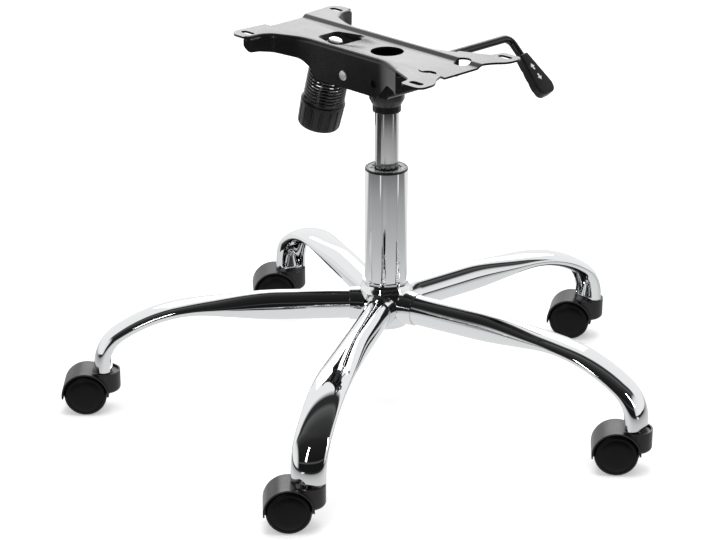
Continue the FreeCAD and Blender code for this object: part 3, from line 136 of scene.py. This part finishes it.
# %% [markdown]
# Most of the folded and moulded pieces are right as they are, but a frame mesh is loose
# triangles. A copy is merged, its faces are shaded smoothly up to a sharp edge, and a small
# bevel catches the light along each edge as paint and plating do on the real piece.

# %% Merged copies of frame pieces
BODY_OF = {node: body for body, members in
           frame["record"]["behaviour"]["bodies"].items() for node in members}
SHARP_EDGE, FLAT_ENOUGH, SAME_PLACE = 32, 0.6, 1e-6


def merged_copy(node, bevel):
    """A welded copy of a node that stands for it, with bevelled edges if the width isn't 0."""
    mesh = bpy.data.meshes.new(node + "_finish")
    work = bmesh.new()
    work.from_mesh(frame["nodes"][node].data)
    bmesh.ops.remove_doubles(work, verts=work.verts, dist=SAME_PLACE)
    bmesh.ops.dissolve_limit(work, angle_limit=math.radians(FLAT_ENOUGH), verts=work.verts,
                             edges=work.edges)
    bmesh.ops.recalc_face_normals(work, faces=work.faces)
    work.to_mesh(mesh)
    work.free()
    piece = adopt(node + "_finish", mesh, BODY_OF[node], (node,))
    soften(piece, SHARP_EDGE)
    if bevel:
        round_edges = piece.modifiers.new("round_edges", "BEVEL")
        round_edges.width = bevel * MM
        round_edges.segments = 2
        round_edges.limit_method = "ANGLE"
        round_edges.angle_limit = math.radians(SHARP_EDGE)
        round_edges.harden_normals = True
    return piece


# %% [markdown]
# No surface of a real base is perfectly even. Handling leaves smudges on chrome and paint,
# moulds are etched so that nylon comes out grained, and drawing leaves fine lines on a
# cylinder. Each of these is a node group, so that every finish can share it with its own
# values. Noise on Object coordinates keeps the pattern fixed to the piece as it moves.

# %% Shared effects
SPECK_SCALE, SMUDGE_SHARE, SPECK_SHARE = 420.0, 0.7, 0.3
NOISE_LOW, NOISE_HIGH = 0.35, 0.68
GRAIN_NOISE_SCALE = 900.0


def effect(name, inputs, output):
    """An empty node group with float inputs {name: default} and one float output."""
    group = bpy.data.node_groups.new(name, "ShaderNodeTree")
    for label, value in inputs.items():
        socket = group.interface.new_socket(label, in_out="INPUT", socket_type="NodeSocketFloat")
        socket.default_value = value
    group.interface.new_socket(output, in_out="OUTPUT", socket_type="NodeSocketFloat")
    return group, group.nodes.new("NodeGroupInput"), group.nodes.new("NodeGroupOutput")


def add_math(nodes, links, kind, *values):
    """A Math node fed by sockets or numbers."""
    step = nodes.new("ShaderNodeMath")
    step.operation = kind
    for socket, value in zip(step.inputs, values):
        if hasattr(value, "is_linked"):
            links.new(value, socket)
        else:
            socket.default_value = value
    return step.outputs[0]


def add_noise(nodes, links, vector, scale, detail, roughness):
    """A noise texture on a vector; its scale may be a socket."""
    noise = nodes.new("ShaderNodeTexNoise")
    noise.inputs["Detail"].default_value = detail
    noise.inputs["Roughness"].default_value = roughness
    links.new(vector, noise.inputs["Vector"])
    if hasattr(scale, "is_linked"):
        links.new(scale, noise.inputs["Scale"])
    else:
        noise.inputs["Scale"].default_value = scale
    return noise.outputs["Fac"]


def build_wear():
    """Roughness: broad noise times its share plus specks times theirs, from least to most."""
    group, given, result = effect("patchy_wear", {"Smudge size": 14.0, "Least": 0.05,
                                                  "Most": 0.15}, "Roughness")
    nodes, links = group.nodes, group.links
    place = nodes.new("ShaderNodeTexCoord").outputs["Object"]
    broad = add_noise(nodes, links, place, given.outputs["Smudge size"], 4.0, 0.6)
    fine = add_noise(nodes, links, place, SPECK_SCALE, 2.0, 0.6)
    both = add_math(nodes, links, "ADD", add_math(nodes, links, "MULTIPLY", broad, SMUDGE_SHARE),
                    add_math(nodes, links, "MULTIPLY", fine, SPECK_SHARE))
    shaped = nodes.new("ShaderNodeMapRange")
    shaped.inputs["From Min"].default_value = NOISE_LOW
    shaped.inputs["From Max"].default_value = NOISE_HIGH
    links.new(both, shaped.inputs["Value"])
    links.new(given.outputs["Least"], shaped.inputs["To Min"])
    links.new(given.outputs["Most"], shaped.inputs["To Max"])
    links.new(shaped.outputs["Result"], result.inputs["Roughness"])
    return group


def build_grain():
    """Height of a fine moulded grain: distance to the nearest cell's middle plus noise."""
    group, given, result = effect("moulded_grain", {"Cells": 1800.0, "Depth": 1.0}, "Height")
    nodes, links = group.nodes, group.links
    place = nodes.new("ShaderNodeTexCoord").outputs["Object"]
    cells = nodes.new("ShaderNodeTexVoronoi")
    links.new(place, cells.inputs["Vector"])
    links.new(given.outputs["Cells"], cells.inputs["Scale"])
    noise = add_noise(nodes, links, place, GRAIN_NOISE_SCALE, 3.0, 0.6)
    both = add_math(nodes, links, "ADD", cells.outputs["Distance"], noise)
    links.new(add_math(nodes, links, "MULTIPLY", both, given.outputs["Depth"]),
              result.inputs["Height"])
    return group


def build_draw_lines():
    """Height of fine lines left by drawing: noise on a place stretched by three scales."""
    group, given, result = effect("draw_lines", {"Along X": 60.0, "Along Y": 60.0,
                                                 "Along Z": 60.0}, "Height")
    nodes, links = group.nodes, group.links
    place = nodes.new("ShaderNodeTexCoord").outputs["Object"]
    stretch = nodes.new("ShaderNodeCombineXYZ")
    for label, axis in (("Along X", "X"), ("Along Y", "Y"), ("Along Z", "Z")):
        links.new(given.outputs[label], stretch.inputs[axis])
    scaled = nodes.new("ShaderNodeVectorMath")
    scaled.operation = "MULTIPLY"
    links.new(place, scaled.inputs[0])
    links.new(stretch.outputs["Vector"], scaled.inputs[1])
    links.new(add_noise(nodes, links, scaled.outputs["Vector"], 1.0, 4.0, 0.65),
              result.inputs["Height"])
    return group


WEAR = build_wear()
GRAIN = build_grain()
LINES = build_draw_lines()
print("effects:", [group.name for group in (WEAR, GRAIN, LINES)])

# %% [markdown]
# The star and the column are plated with bright chrome, the gas cylinder is drawn and ground
# steel, the bracket and plate are sprayed black over steel, and hoods, knob and wheels are
# black nylon. Each finish is one material with a Principled shader. Plain numbers stand on the
# shader, and only what changes over the surface comes through an effect, so that the values of
# a finish can be read in one line.

# %% Finishes
def placed_effect(nodes, group, labels, values):
    """The output of a shared effect, placed in a material with its own values."""
    placed = nodes.new("ShaderNodeGroup")
    placed.node_tree = group
    for label, value in zip(labels, values):
        placed.inputs[label].default_value = value
    return placed.outputs[0]


def finish(name, color, metallic, wear, grain=None, lines=None, bump=0.2, distance=0.05,
           specular=0.5):
    """A material: wear gives (size, least, most), grain (cells, depth), lines three scales."""
    material = bpy.data.materials.new(name)
    material.use_nodes = True
    nodes, links = material.node_tree.nodes, material.node_tree.links
    shader = nodes["Principled BSDF"]
    shader.inputs["Base Color"].default_value = (*color, 1)
    shader.inputs["Metallic"].default_value = metallic
    shader.inputs["Specular IOR Level"].default_value = specular
    material.diffuse_color = (*color, 1)
    links.new(placed_effect(nodes, WEAR, ("Smudge size", "Least", "Most"), wear),
              shader.inputs["Roughness"])
    height = None
    if grain:
        height = placed_effect(nodes, GRAIN, ("Cells", "Depth"), grain)
    if lines:
        height = placed_effect(nodes, LINES, ("Along X", "Along Y", "Along Z"), lines)
    if height is not None:
        relief = nodes.new("ShaderNodeBump")
        relief.inputs["Strength"].default_value = bump
        relief.inputs["Distance"].default_value = distance * MM
        links.new(height, relief.inputs["Height"])
        links.new(relief.outputs["Normal"], shader.inputs["Normal"])
    return material


CHROME = finish("polished_chrome", (0.80, 0.81, 0.82), 1.0, wear=(9.0, 0.02, 0.06))
SATIN = finish("satin_steel", (0.62, 0.62, 0.62), 1.0, wear=(20.0, 0.14, 0.22),
               lines=(400.0, 400.0, 4.0), bump=0.05)
ZINC = finish("bright_zinc", (0.78, 0.78, 0.76), 1.0, wear=(60.0, 0.22, 0.42),
              grain=(700.0, 1.0), bump=0.12)
PAINT = finish("gloss_black_paint", (0.006, 0.006, 0.007), 0.0, wear=(12.0, 0.20, 0.30),
               grain=(180.0, 1.0), bump=0.03, distance=0.10)
SPRING = finish("spring_black", (0.007, 0.007, 0.008), 0.0, wear=(30.0, 0.16, 0.26))
PLASTIC = finish("grained_black_nylon", (0.005, 0.005, 0.0055), 0.0, wear=(16.0, 0.26, 0.40),
                 grain=(1500.0, 1.0), bump=0.12, specular=0.4)
TREAD = finish("black_tread_nylon", (0.003, 0.003, 0.0033), 0.0, wear=(40.0, 0.30, 0.44),
               grain=(1100.0, 1.0), bump=0.12, specular=0.15)
GREY = finish("grey_acetal", (0.30, 0.31, 0.32), 0.0, wear=(50.0, 0.30, 0.45),
              grain=(1200.0, 1.0), bump=0.15)
RUBBER = finish("soft_rubber", (0.02, 0.02, 0.02), 0.0, wear=(30.0, 0.6, 0.8),
                grain=(900.0, 1.0), bump=0.3)
INK = finish("white_print", (0.62, 0.62, 0.62), 0.0, wear=(60.0, 0.45, 0.6))

FINISH_OF = {"chrome": CHROME, "bare_steel": SATIN, "zinc": ZINC, "black_paint": PAINT,
             "spring_steel": SPRING, "black_plastic": PLASTIC, "grey_plastic": GREY,
             "wheel_plastic": TREAD, "buffer_rubber": RUBBER}
SLOT_OF = {row["node"]: row["material_slot"] for row in frame["record"]["subparts"]}


def dress(piece, material):
    """Give a piece one material in place of what it had."""
    piece.data.materials.clear()
    piece.data.materials.append(material)
    return piece


for node, thing in frame["nodes"].items():
    for place in thing.material_slots:
        place.material = FINISH_OF[SLOT_OF[node]]
print("finishes:", sorted(FINISH_OF))

# %% [markdown]
# A leg is one piece of round tube. Pressing turned it into a tall oval at the hub and a flat,
# wide oval towards its end, and it is bent down there in two arcs. Such a leg could be swept
# along a curve, but a sweep keeps its section. Here the surface is worked out from two numbers
# instead: how far along the line, and how far round the oval. So the oval can change on the way
# and the reflections run on without a break. The arch is then cut from the inner side.

# %% The legs
LEG_COUNT, FIRST_LEG = 5, 30.8
STEM_CIRCLE, HUB_RADIUS, ROOT_DEPTH = 333.0, 30.5, 4.0
LEG_LEVEL, LEG_FOOT, LEG_WALL = 130.0, 54.2, 1.6
WIDE_BEND, TIGHT_BEND, WIDE_TURN = 180.0, 45.0, math.radians(35)
# Half width and half height of the oval: at the hub, where it is flattest, and at the end.
ROOT_OVAL, FLAT_OVAL, END_OVAL = (16.0, 17.9), (20.6, 8.7), (19.8, 11.5)
FLAT_FROM, FLAT_RUN = 125.0, 120.0
ARCH_HALF, ARCH_HEIGHT, ARCH_BELOW, ARCH_REACH = 14.5, 44.0, 5.0, 80.0
LEG_AROUND, ROOT_ROWS, END_ROWS, END_RUN = 72, 24, 40, 130.0

LEG_ROOT = HUB_RADIUS - ROOT_DEPTH
LEG_DROP = (LEG_LEVEL - WIDE_BEND * (1 - math.cos(WIDE_TURN))
            - TIGHT_BEND * math.cos(WIDE_TURN) - LEG_FOOT)
BEND_START = (STEM_CIRCLE - WIDE_BEND * math.sin(WIDE_TURN)
              - TIGHT_BEND * (1 - math.sin(WIDE_TURN)))
LEVEL_RUN = BEND_START - LEG_ROOT
WIDE_RUN = WIDE_BEND * WIDE_TURN
TIGHT_RUN = TIGHT_BEND * (math.pi / 2 - WIDE_TURN)


def leg_line(along):
    """Radius, height, fall and share of the tight bend at a distance along a leg's line.

    The line runs level, then falls on a wide arc and a tight arc, then straight down. On an
    arc the radius grows with the bend's radius times the sine of the fall, and the height
    drops with the bend's radius times one less the cosine.
    """
    on_wide = np.clip(along - LEVEL_RUN, 0, WIDE_RUN)
    on_tight = np.clip(along - LEVEL_RUN - WIDE_RUN, 0, TIGHT_RUN)
    below = np.clip(along - LEVEL_RUN - WIDE_RUN - TIGHT_RUN, 0, None)
    fall = on_wide / WIDE_BEND + on_tight / TIGHT_BEND
    first, second = on_wide / WIDE_BEND, WIDE_TURN + on_tight / TIGHT_BEND
    radius = (LEG_ROOT + np.clip(along, 0, LEVEL_RUN) + WIDE_BEND * np.sin(first)
              + TIGHT_BEND * (np.sin(second) - math.sin(WIDE_TURN)))
    height = (LEG_LEVEL - WIDE_BEND * (1 - np.cos(first))
              - TIGHT_BEND * (math.cos(WIDE_TURN) - np.cos(second)) - below)
    return radius, height, fall, on_tight / TIGHT_RUN


def soft_step(value):
    """A step from 0 to 1: three times the square less twice the cube."""
    value = np.clip(value, 0, 1)
    return value * value * (3 - 2 * value)


def between(first, second, share):
    """First plus the share of the way to second."""
    return first + (second - first) * share


def leg_skin(inset, along):
    """Points of a leg's oval skin: half width times sine across, half height times cosine up."""
    radius, height, fall, down = leg_line(along)
    flat = soft_step((radius - FLAT_FROM) / FLAT_RUN)
    half_width, half_height = (
        between(between(root, flattest, flat), end, down) - inset
        for root, flattest, end in zip(ROOT_OVAL, FLAT_OVAL, END_OVAL))
    angle = np.linspace(0, 2 * math.pi, LEG_AROUND, endpoint=False)
    across = half_width[:, None] * np.sin(angle)
    up = half_height[:, None] * np.cos(angle)
    return np.stack([radius[:, None] + up * np.sin(fall)[:, None], across,
                     height[:, None] + up * np.cos(fall)[:, None]], axis=-1)


def leg_mesh():
    """Outer and inner skin of a leg joined at both ends into one closed wall."""
    total = LEVEL_RUN + WIDE_RUN + TIGHT_RUN + LEG_DROP
    along = np.unique(np.concatenate([np.linspace(0, total - END_RUN, ROOT_ROWS),
                                      np.linspace(total - END_RUN, total, END_ROWS)]))
    points = np.concatenate([leg_skin(inset, along).reshape(-1, 3) for inset in (0, LEG_WALL)])
    rows, half = len(along), len(along) * LEG_AROUND
    outer = grid_faces(rows, LEG_AROUND)
    inner = outer[:, ::-1] + half
    ends = []
    for row in (0, rows - 1):
        first = row * LEG_AROUND + np.arange(LEG_AROUND)
        after = row * LEG_AROUND + (np.arange(LEG_AROUND) + 1) % LEG_AROUND
        rim = np.stack([first, first + half, after + half, after], axis=-1)
        ends.append(rim if row == 0 else rim[:, ::-1])
    return points, np.concatenate([outer, inner] + ends)


def arch_prism():
    """The arch cut in the inner side of a leg's end: a post with a round crown, along X.

    It stops at the leg's own line: straight up to the bend, then on the bend's arc, where the
    reach is the root of the bend's radius squared less the height above the bend squared.
    """
    spring_line = LEG_FOOT + ARCH_HEIGHT - ARCH_HALF
    turn = np.linspace(0, math.pi / 2, 17)
    post = np.column_stack([np.full(7, ARCH_HALF),
                            np.linspace(LEG_FOOT - ARCH_BELOW, spring_line, 7)])
    crown = np.column_stack([ARCH_HALF * np.cos(turn), spring_line + ARCH_HALF * np.sin(turn)])
    side = np.concatenate([post[:-1], crown[:-1]])
    outline = np.concatenate([side, crown[-1:], (side * [-1, 1])[::-1]])
    above = np.clip(outline[:, 1] - LEG_FOOT - LEG_DROP, 0, None)
    stop = STEM_CIRCLE - TIGHT_BEND + np.sqrt(TIGHT_BEND ** 2 - above ** 2)
    count = len(outline)
    near = np.column_stack([np.full(count, STEM_CIRCLE - ARCH_REACH), outline])
    far = np.column_stack([stop, outline])
    rungs = [(k, k + 1, count - 2 - k, count - 1 - k) for k in range(count // 2 - 1)]
    cap = rungs + [(count // 2 - 1, count // 2, count // 2 + 1)]
    far_cap = [tuple(point + count for point in face)[::-1] for face in cap]
    return np.concatenate([near, far]), prism_sides(count) + cap + far_cap


def cut_by(name, solid, cutter):
    """A closed solid less a closed cutter, each (points, faces), by an exact boolean."""
    thing = linked_object(name + "_work", face_outwards(raw_mesh(name, *solid)))
    tool = linked_object(name + "_tool", face_outwards(raw_mesh(name + "_tool", *cutter)))
    cut = thing.modifiers.new("cut", "BOOLEAN")
    cut.operation = "DIFFERENCE"
    cut.solver = "EXACT"
    cut.object = tool
    graph = bpy.context.evaluated_depsgraph_get()
    result = bpy.data.meshes.new_from_object(thing.evaluated_get(graph))
    result.name = name
    for spare in (tool, thing):
        bpy.data.objects.remove(spare, do_unlink=True)
    return result


leg_template = cut_by("leg_shell", leg_mesh(), arch_prism())
for k in range(LEG_COUNT):
    shell = leg_template.copy()
    shell.transform(Matrix.Rotation(math.radians(FIRST_LEG + 360 / LEG_COUNT * k), 4, "Z"))
    piece = adopt("leg_shell_%d" % (k + 1), shell, "base", ("leg_%d" % (k + 1),))
    dress(soften(piece, 40), CHROME)
print("leg shell:", len(leg_template.polygons), "faces")

# %% [markdown]
# The remaining pieces in view are turned, folded, pressed or moulded, and the frame has their
# form. They could be left as they are, but their edges would be sharp and take no light. So
# each gets a welded copy with a fine bevel: about the sheet's broken edge on plate and bracket,
# a moulding's radius on knob, hoods and wheels, and none on the lock ring and the cylinder.

# %% Copies with finish
COPIES = {"hub_tube": 0.5, "column_tube": 0.2, "column_bush": 0.3, "bush_lock_ring": 0.0,
          "gas_cylinder": 0.0, "taper_socket": 0.4, "dust_collar": 0.3, "seat_plate": 0.6,
          "tilt_bracket": 0.6, "pivot_rivet": 0.2, "tension_bolt": 0.25, "tension_knob": 0.4,
          "lever_rod": 0.3, "lever_handle": 0.5}
CASTER_COPIES = {"caster_hood": 0.6, "caster_wheel_left": 0.3, "caster_wheel_right": 0.3,
                 "caster_socket": 0.3, "caster_stem": 0.2}
for k in range(1, LEG_COUNT + 1):
    COPIES.update({"%s_%d" % (kind, k): bevel for kind, bevel in CASTER_COPIES.items()})
for node, bevel in COPIES.items():
    dress(merged_copy(node, bevel), FINISH_OF[SLOT_OF[node]])
print("copies:", len(COPIES))

# %% [markdown]
# The tension spring is coiled wire. A round section is carried along a helix, as the coiling
# machine leads the wire, so its light runs smoothly from turn to turn. When the seat tilts, the
# bolt pulls the washer up and the spring gets shorter; here the coil keeps one length and rides
# on the lift.

# %% The tension spring
BOLT_HEAD = np.array([0.0, -83.8, 433.3])
BOLT_LEAN = -15.5
# Below the bolt's head, along the bolt: the seat in the bracket and the washer.
SPRING_TOP, SPRING_FOOT, SPRING_WIRE = 24.25, 77.55, 3.0
SPRING_MEAN, SPRING_PITCH, SPRING_SHORTER = 23.25, 4.15, 7.4


def coil_mesh(mean, wire, pitch, low, high, per_turn=48, around=14):
    """A wire's skin: helix point plus wire radius times cosine outwards and sine upwards."""
    turns = (high - low) / pitch
    turn = np.linspace(0, 2 * math.pi * turns, int(per_turn * turns))
    swing = np.linspace(0, 2 * math.pi, around, endpoint=False)
    reach = mean + wire / 2 * np.cos(swing)[None, :]
    points = np.stack([reach * np.cos(turn)[:, None], reach * np.sin(turn)[:, None],
                       low + pitch * turn[:, None] / (2 * math.pi)
                       + wire / 2 * np.sin(swing)[None, :]], axis=-1)
    rows = len(turn)
    faces = [tuple(face) for face in grid_faces(rows, around)]
    caps = [tuple(range(around))[::-1], tuple(range((rows - 1) * around, rows * around))]
    return points.reshape(-1, 3), faces + caps


coil_points, coil_faces = coil_mesh(SPRING_MEAN, SPRING_WIRE, SPRING_PITCH,
                                    SPRING_WIRE / 2 - SPRING_FOOT, -SPRING_TOP - SPRING_WIRE / 2)
coil_points = turn_about(coil_points, (1, 0, 0), BOLT_LEAN) + BOLT_HEAD
coil = new_object("spring_coil", coil_points, coil_faces, "lift",
                  ("tension_spring",))
dress(soften(coil, 60), SPRING)
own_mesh(coil)
print("spring:", len(coil_points), "points")

# %% [markdown]
# The paddle of the lever carries printed marks. Two plain arrows, up and down, stand in for the
# maker's own signs. A print is a thin film of ink, so each arrow is a flat piece that rises
# just above the paddle's face and rides with the lever.

# %% Arrows on the paddle
LEVER_CORNER = np.array([-189.0, 14.0, 417.5])
LEVER_DROP, LEVER_LEAN = math.radians(47), math.radians(6)
HANDLE_START, HANDLE_THICKNESS, PRINT_LIFT = 26.0, 12.0, 0.12
ARROW_SHAFT, ARROW_HEAD, ARROW_TAIL, ARROW_TIP = 1.1, 3.4, 4.0, 4.4
# Each arrow: name, distance along the paddle, and 1 if it points at the paddle's end.
ARROWS = (("arrow_up", 19.0, -1), ("arrow_down", 33.0, 1))


def arrow_print(name, middle, way):
    """A flat arrow: start plus across times width, arm times length and normal times lift."""
    arm = np.array([-math.sin(LEVER_LEAN), math.cos(LEVER_LEAN) * math.cos(LEVER_DROP),
                    -math.cos(LEVER_LEAN) * math.sin(LEVER_DROP)])
    normal = np.cross(arm, (1, 0, 0))
    normal *= np.sign(normal[2]) / np.linalg.norm(normal)
    across = np.cross(arm, normal)
    across /= np.linalg.norm(across)
    outline = np.array([[-ARROW_SHAFT, -ARROW_TAIL], [ARROW_SHAFT, -ARROW_TAIL],
                        [ARROW_SHAFT, 0], [ARROW_HEAD, 0], [0, ARROW_TIP], [-ARROW_HEAD, 0],
                        [-ARROW_SHAFT, 0]])
    start = LEVER_CORNER + arm * HANDLE_START
    points = (start + across * outline[:, :1] + arm * (middle + way * outline[:, 1:])
              + normal * (HANDLE_THICKNESS / 2 + PRINT_LIFT))
    below = points - normal * 2 * PRINT_LIFT
    count = len(outline)
    caps = [tuple(range(count))[::-1], tuple(range(count, 2 * count))]
    return new_object(name, np.concatenate([points, below]), prism_sides(count) + caps,
                      "lever")


for name, middle, way in ARROWS:
    mark = arrow_print(name, middle, way)
    face_outwards(mark.data)
    dress(mark, INK)
print("arrows on the paddle:", len(ARROWS))

# %% [markdown]
# The stage is a pale floor in a white tent that is open towards the camera. Chrome shows nothing
# but its surroundings: the black bands on the real legs are the dark room above and behind the
# camera, the white ones are the tent, and the grey ones are the paper floor, which falls off
# with the distance from the base. A built tent would need many lamps and flags. Here the world
# gives its picture to mirror rays alone, the floor shows them painted light that falls off from
# the base and two painted strip lamps, and the camera still sees a white backdrop.

# %% Floor and studio
FLOOR_RADIUS, FLOOR_POINTS = 2.6, 96
TO_CAMERA = (0.6990, 0.7151, 0.0)
TO_RIGHT = (-0.7151, 0.6990, 0.0)
PAPER, PAPER_GLOW, ROOM_LIGHT = 0.86, 0.35, 0.5


def ramp_node(nodes, links, value, stops, smooth="LINEAR"):
    """The output of a colour ramp with grey stops, given as (place, level)."""
    ramp = nodes.new("ShaderNodeValToRGB")
    ramp.color_ramp.interpolation = smooth
    elements = ramp.color_ramp.elements
    while len(elements) < len(stops):
        elements.new(0.5)
    for element, (place, level) in zip(elements, stops):
        element.position = place
        element.color = (level, level, level, 1)
    links.new(value, ramp.inputs["Fac"])
    return ramp.outputs["Color"]


def along(nodes, links, vector, direction):
    """The part of a vector that points along a direction."""
    dot = nodes.new("ShaderNodeVectorMath")
    dot.operation = "DOT_PRODUCT"
    links.new(vector, dot.inputs[0])
    dot.inputs[1].default_value = direction
    return dot.outputs["Value"]


def strip_lights(nodes, links, ahead, aside):
    """Two upright white strips: 1 where the heading from the base is that of a strip."""
    heading = add_math(nodes, links, "ARCTAN2", aside, ahead)
    part = add_math(nodes, links, "MULTIPLY_ADD", heading, 1 / (2 * math.pi), 0.5)
    return ramp_node(nodes, links, part, [
        (0.400, 0.0), (0.406, 0.95), (0.419, 0.95), (0.425, 0.0),
        (0.664, 0.0), (0.670, 0.95), (0.686, 0.95), (0.692, 0.0)])


def painted_floor_glow(nodes, links):
    """Painted light mirror rays see on the floor: the brightest of near paper fading off, back
    paper and strip lamps.
    """
    place = nodes.new("ShaderNodeTexCoord").outputs["Object"]
    ahead = along(nodes, links, place, TO_CAMERA)
    aside = along(nodes, links, place, TO_RIGHT)
    length = nodes.new("ShaderNodeVectorMath")
    length.operation = "LENGTH"
    links.new(place, length.inputs[0])
    reach = add_math(nodes, links, "MULTIPLY", length.outputs["Value"], 0.5)
    near = ramp_node(nodes, links, reach, [(0.0, 0.85), (0.18, 0.80), (0.28, 0.55),
                                           (0.38, 0.38), (0.48, 0.08), (0.56, 0.02)])
    part = add_math(nodes, links, "MULTIPLY_ADD", ahead, 0.5, 0.5)
    back = ramp_node(nodes, links, part, [(0.0, 0.9), (0.30, 0.9), (0.42, 0.0)])
    far_out = ramp_node(nodes, links, reach, [(0.0, 0.0), (0.36, 0.0), (0.40, 1.0),
                                              (0.62, 1.0), (0.66, 0.0)])
    strips = add_math(nodes, links, "MULTIPLY", strip_lights(nodes, links, ahead, aside),
                      far_out)
    return add_math(nodes, links, "MAXIMUM", add_math(nodes, links, "MAXIMUM", near, back),
                    strips)


def stage_floor():
    """A round pale floor that the camera sees as white wherever no shadow falls."""
    turn = np.linspace(0, 2 * math.pi, FLOOR_POINTS, endpoint=False)
    rim = np.stack([FLOOR_RADIUS * np.cos(turn), FLOOR_RADIUS * np.sin(turn), 0 * turn], -1)
    mesh = raw_mesh("floor", rim / MM, [range(FLOOR_POINTS)])
    linked_object("floor", mesh)
    material = bpy.data.materials.new("pale_floor")
    material.use_nodes = True
    nodes, links = material.node_tree.nodes, material.node_tree.links
    shader = nodes["Principled BSDF"]
    shader.inputs["Roughness"].default_value = 0.7
    shader.inputs["Specular IOR Level"].default_value = 0.0
    shader.inputs["Emission Color"].default_value = (1, 1, 1, 1)
    seen = nodes.new("ShaderNodeLightPath")
    # Mirror rays see painted light on the floor: a glow that fades off from the base, and painted
    # strip lamps.
    mirrored = add_math(nodes, links, "MULTIPLY", painted_floor_glow(nodes, links),
                        seen.outputs["Is Glossy Ray"])
    direct = add_math(nodes, links, "MULTIPLY", seen.outputs["Is Camera Ray"], PAPER_GLOW)
    links.new(add_math(nodes, links, "ADD", mirrored, direct), shader.inputs["Emission Strength"])
    paper = add_math(nodes, links, "MULTIPLY_ADD", seen.outputs["Is Glossy Ray"], -PAPER, PAPER)
    links.new(paper, shader.inputs["Base Color"])
    mesh.materials.append(material)


def tent(nodes, links):
    """What a mirror ray sees in the sky: bands by the angle over the camera, white sides."""
    direction = nodes.new("ShaderNodeTexCoord").outputs["Generated"]
    ahead = along(nodes, links, direction, TO_CAMERA)
    up = along(nodes, links, direction, (0, 0, 1))
    aside = along(nodes, links, direction, TO_RIGHT)
    angle = add_math(nodes, links, "ARCTAN2", up, ahead)
    part = add_math(nodes, links, "MULTIPLY_ADD", angle, 1 / (2 * math.pi), 0.5)
    bands = ramp_node(nodes, links, part, [
        (0.0, 1.0), (0.22, 0.6), (0.42, 0.10), (0.47, 0.01), (0.545, 0.01), (0.553, 0.12),
        (0.561, 0.01), (0.70, 0.02), (0.76, 0.05), (0.79, 0.12), (0.80, 0.03), (0.82, 0.03),
        (0.835, 1.0), (1.0, 1.0)])
    half = add_math(nodes, links, "MULTIPLY_ADD", aside, 0.5, 0.5)
    sides = ramp_node(nodes, links, half, [(0.0, 1.0), (0.04, 0.9), (0.09, 0.0), (0.91, 0.0),
                                           (0.96, 0.9), (1.0, 1.0)], "EASE")
    return add_math(nodes, links, "MAXIMUM", bands, sides)


def backdrop(nodes, strength):
    """A white background of a given strength."""
    ground = nodes.new("ShaderNodeBackground")
    ground.inputs["Color"].default_value = (1, 1, 1, 1)
    ground.inputs["Strength"].default_value = strength
    return ground


def studio_world():
    """White for the camera, plain for diffuse light, and a tent with a dark front in mirrors."""
    world = bpy.data.worlds.new("studio")
    bpy.context.scene.world = world
    world.use_nodes = True
    nodes, links = world.node_tree.nodes, world.node_tree.links
    nodes.clear()
    shown, mirrored, plain = (backdrop(nodes, level) for level in (1.0, 1.0, ROOM_LIGHT))
    links.new(tent(nodes, links), mirrored.inputs["Color"])
    seen = nodes.new("ShaderNodeLightPath")
    mixed = plain.outputs[0]
    for ray, ground in (("Is Glossy Ray", mirrored), ("Is Camera Ray", shown)):
        mix = nodes.new("ShaderNodeMixShader")
        links.new(seen.outputs[ray], mix.inputs["Fac"])
        links.new(mixed, mix.inputs[1])
        links.new(ground.outputs[0], mix.inputs[2])
        mixed = mix.outputs[0]
    links.new(mixed, nodes.new("ShaderNodeOutputWorld").inputs["Surface"])


def soft_light(name, ahead, aside, height, wide, tall, power, target=(0, 0, 0.25), shown=True):
    """A rectangular area lamp placed by its distance towards the camera, to the right and up."""
    lamp = bpy.data.lights.new(name, "AREA")
    lamp.shape = "RECTANGLE"
    lamp.size, lamp.size_y, lamp.energy = wide, tall, power
    holder = linked_object(name, lamp)
    place = Vector(TO_CAMERA) * ahead + Vector(TO_RIGHT) * aside + Vector((0, 0, height))
    holder.location = place
    holder.visible_glossy = shown
    holder.rotation_euler = (Vector(target) - place).to_track_quat("-Z", "Y").to_euler()


stage_floor()
studio_world()
soft_light("back_sheet", -1.5, 0.0, 1.15, 1.8, 0.9, 13, (0, 0, 0.4))
soft_light("overhead", 0.1, 0.0, 2.4, 1.4, 1.4, 30, shown=False)
soft_light("left_strip", 1.35, -0.75, 1.0, 0.10, 0.9, 3)
soft_light("right_strip", 0.6, 1.5, 0.9, 0.12, 0.9, 3)
bpy.context.scene.view_settings.view_transform = "Standard"
print("stage ready")

# %% [markdown]
# The camera stands where the photograph's camera stood, with the long lens of a product shot.
# Its place, turn and focal length come from the five casters, the column and the plate's
# corners, which fix them together.

# %% Camera
CAMERA_PLACE = (1.9674, 1.9665, 1.2640)
VIEW_AZIMUTH, VIEW_PITCH, VIEW_ROLL = 225.66, -21.46, -0.09
FOCAL_PIXELS, IMAGE_WIDTH, SENSOR_WIDTH = 2551.18, 716, 36
camera_data = bpy.data.cameras.new("camera")
camera_data.sensor_width = SENSOR_WIDTH
camera_data.lens = FOCAL_PIXELS / IMAGE_WIDTH * SENSOR_WIDTH
camera = linked_object("camera", camera_data)
camera.location = CAMERA_PLACE
camera.rotation_euler = (Matrix.Rotation(math.radians(VIEW_AZIMUTH - 90), 3, "Z")
                         @ Matrix.Rotation(math.radians(90 + VIEW_PITCH), 3, "X")
                         @ Matrix.Rotation(math.radians(-VIEW_ROLL), 3, "Z")).to_euler()
bpy.context.scene.camera = camera
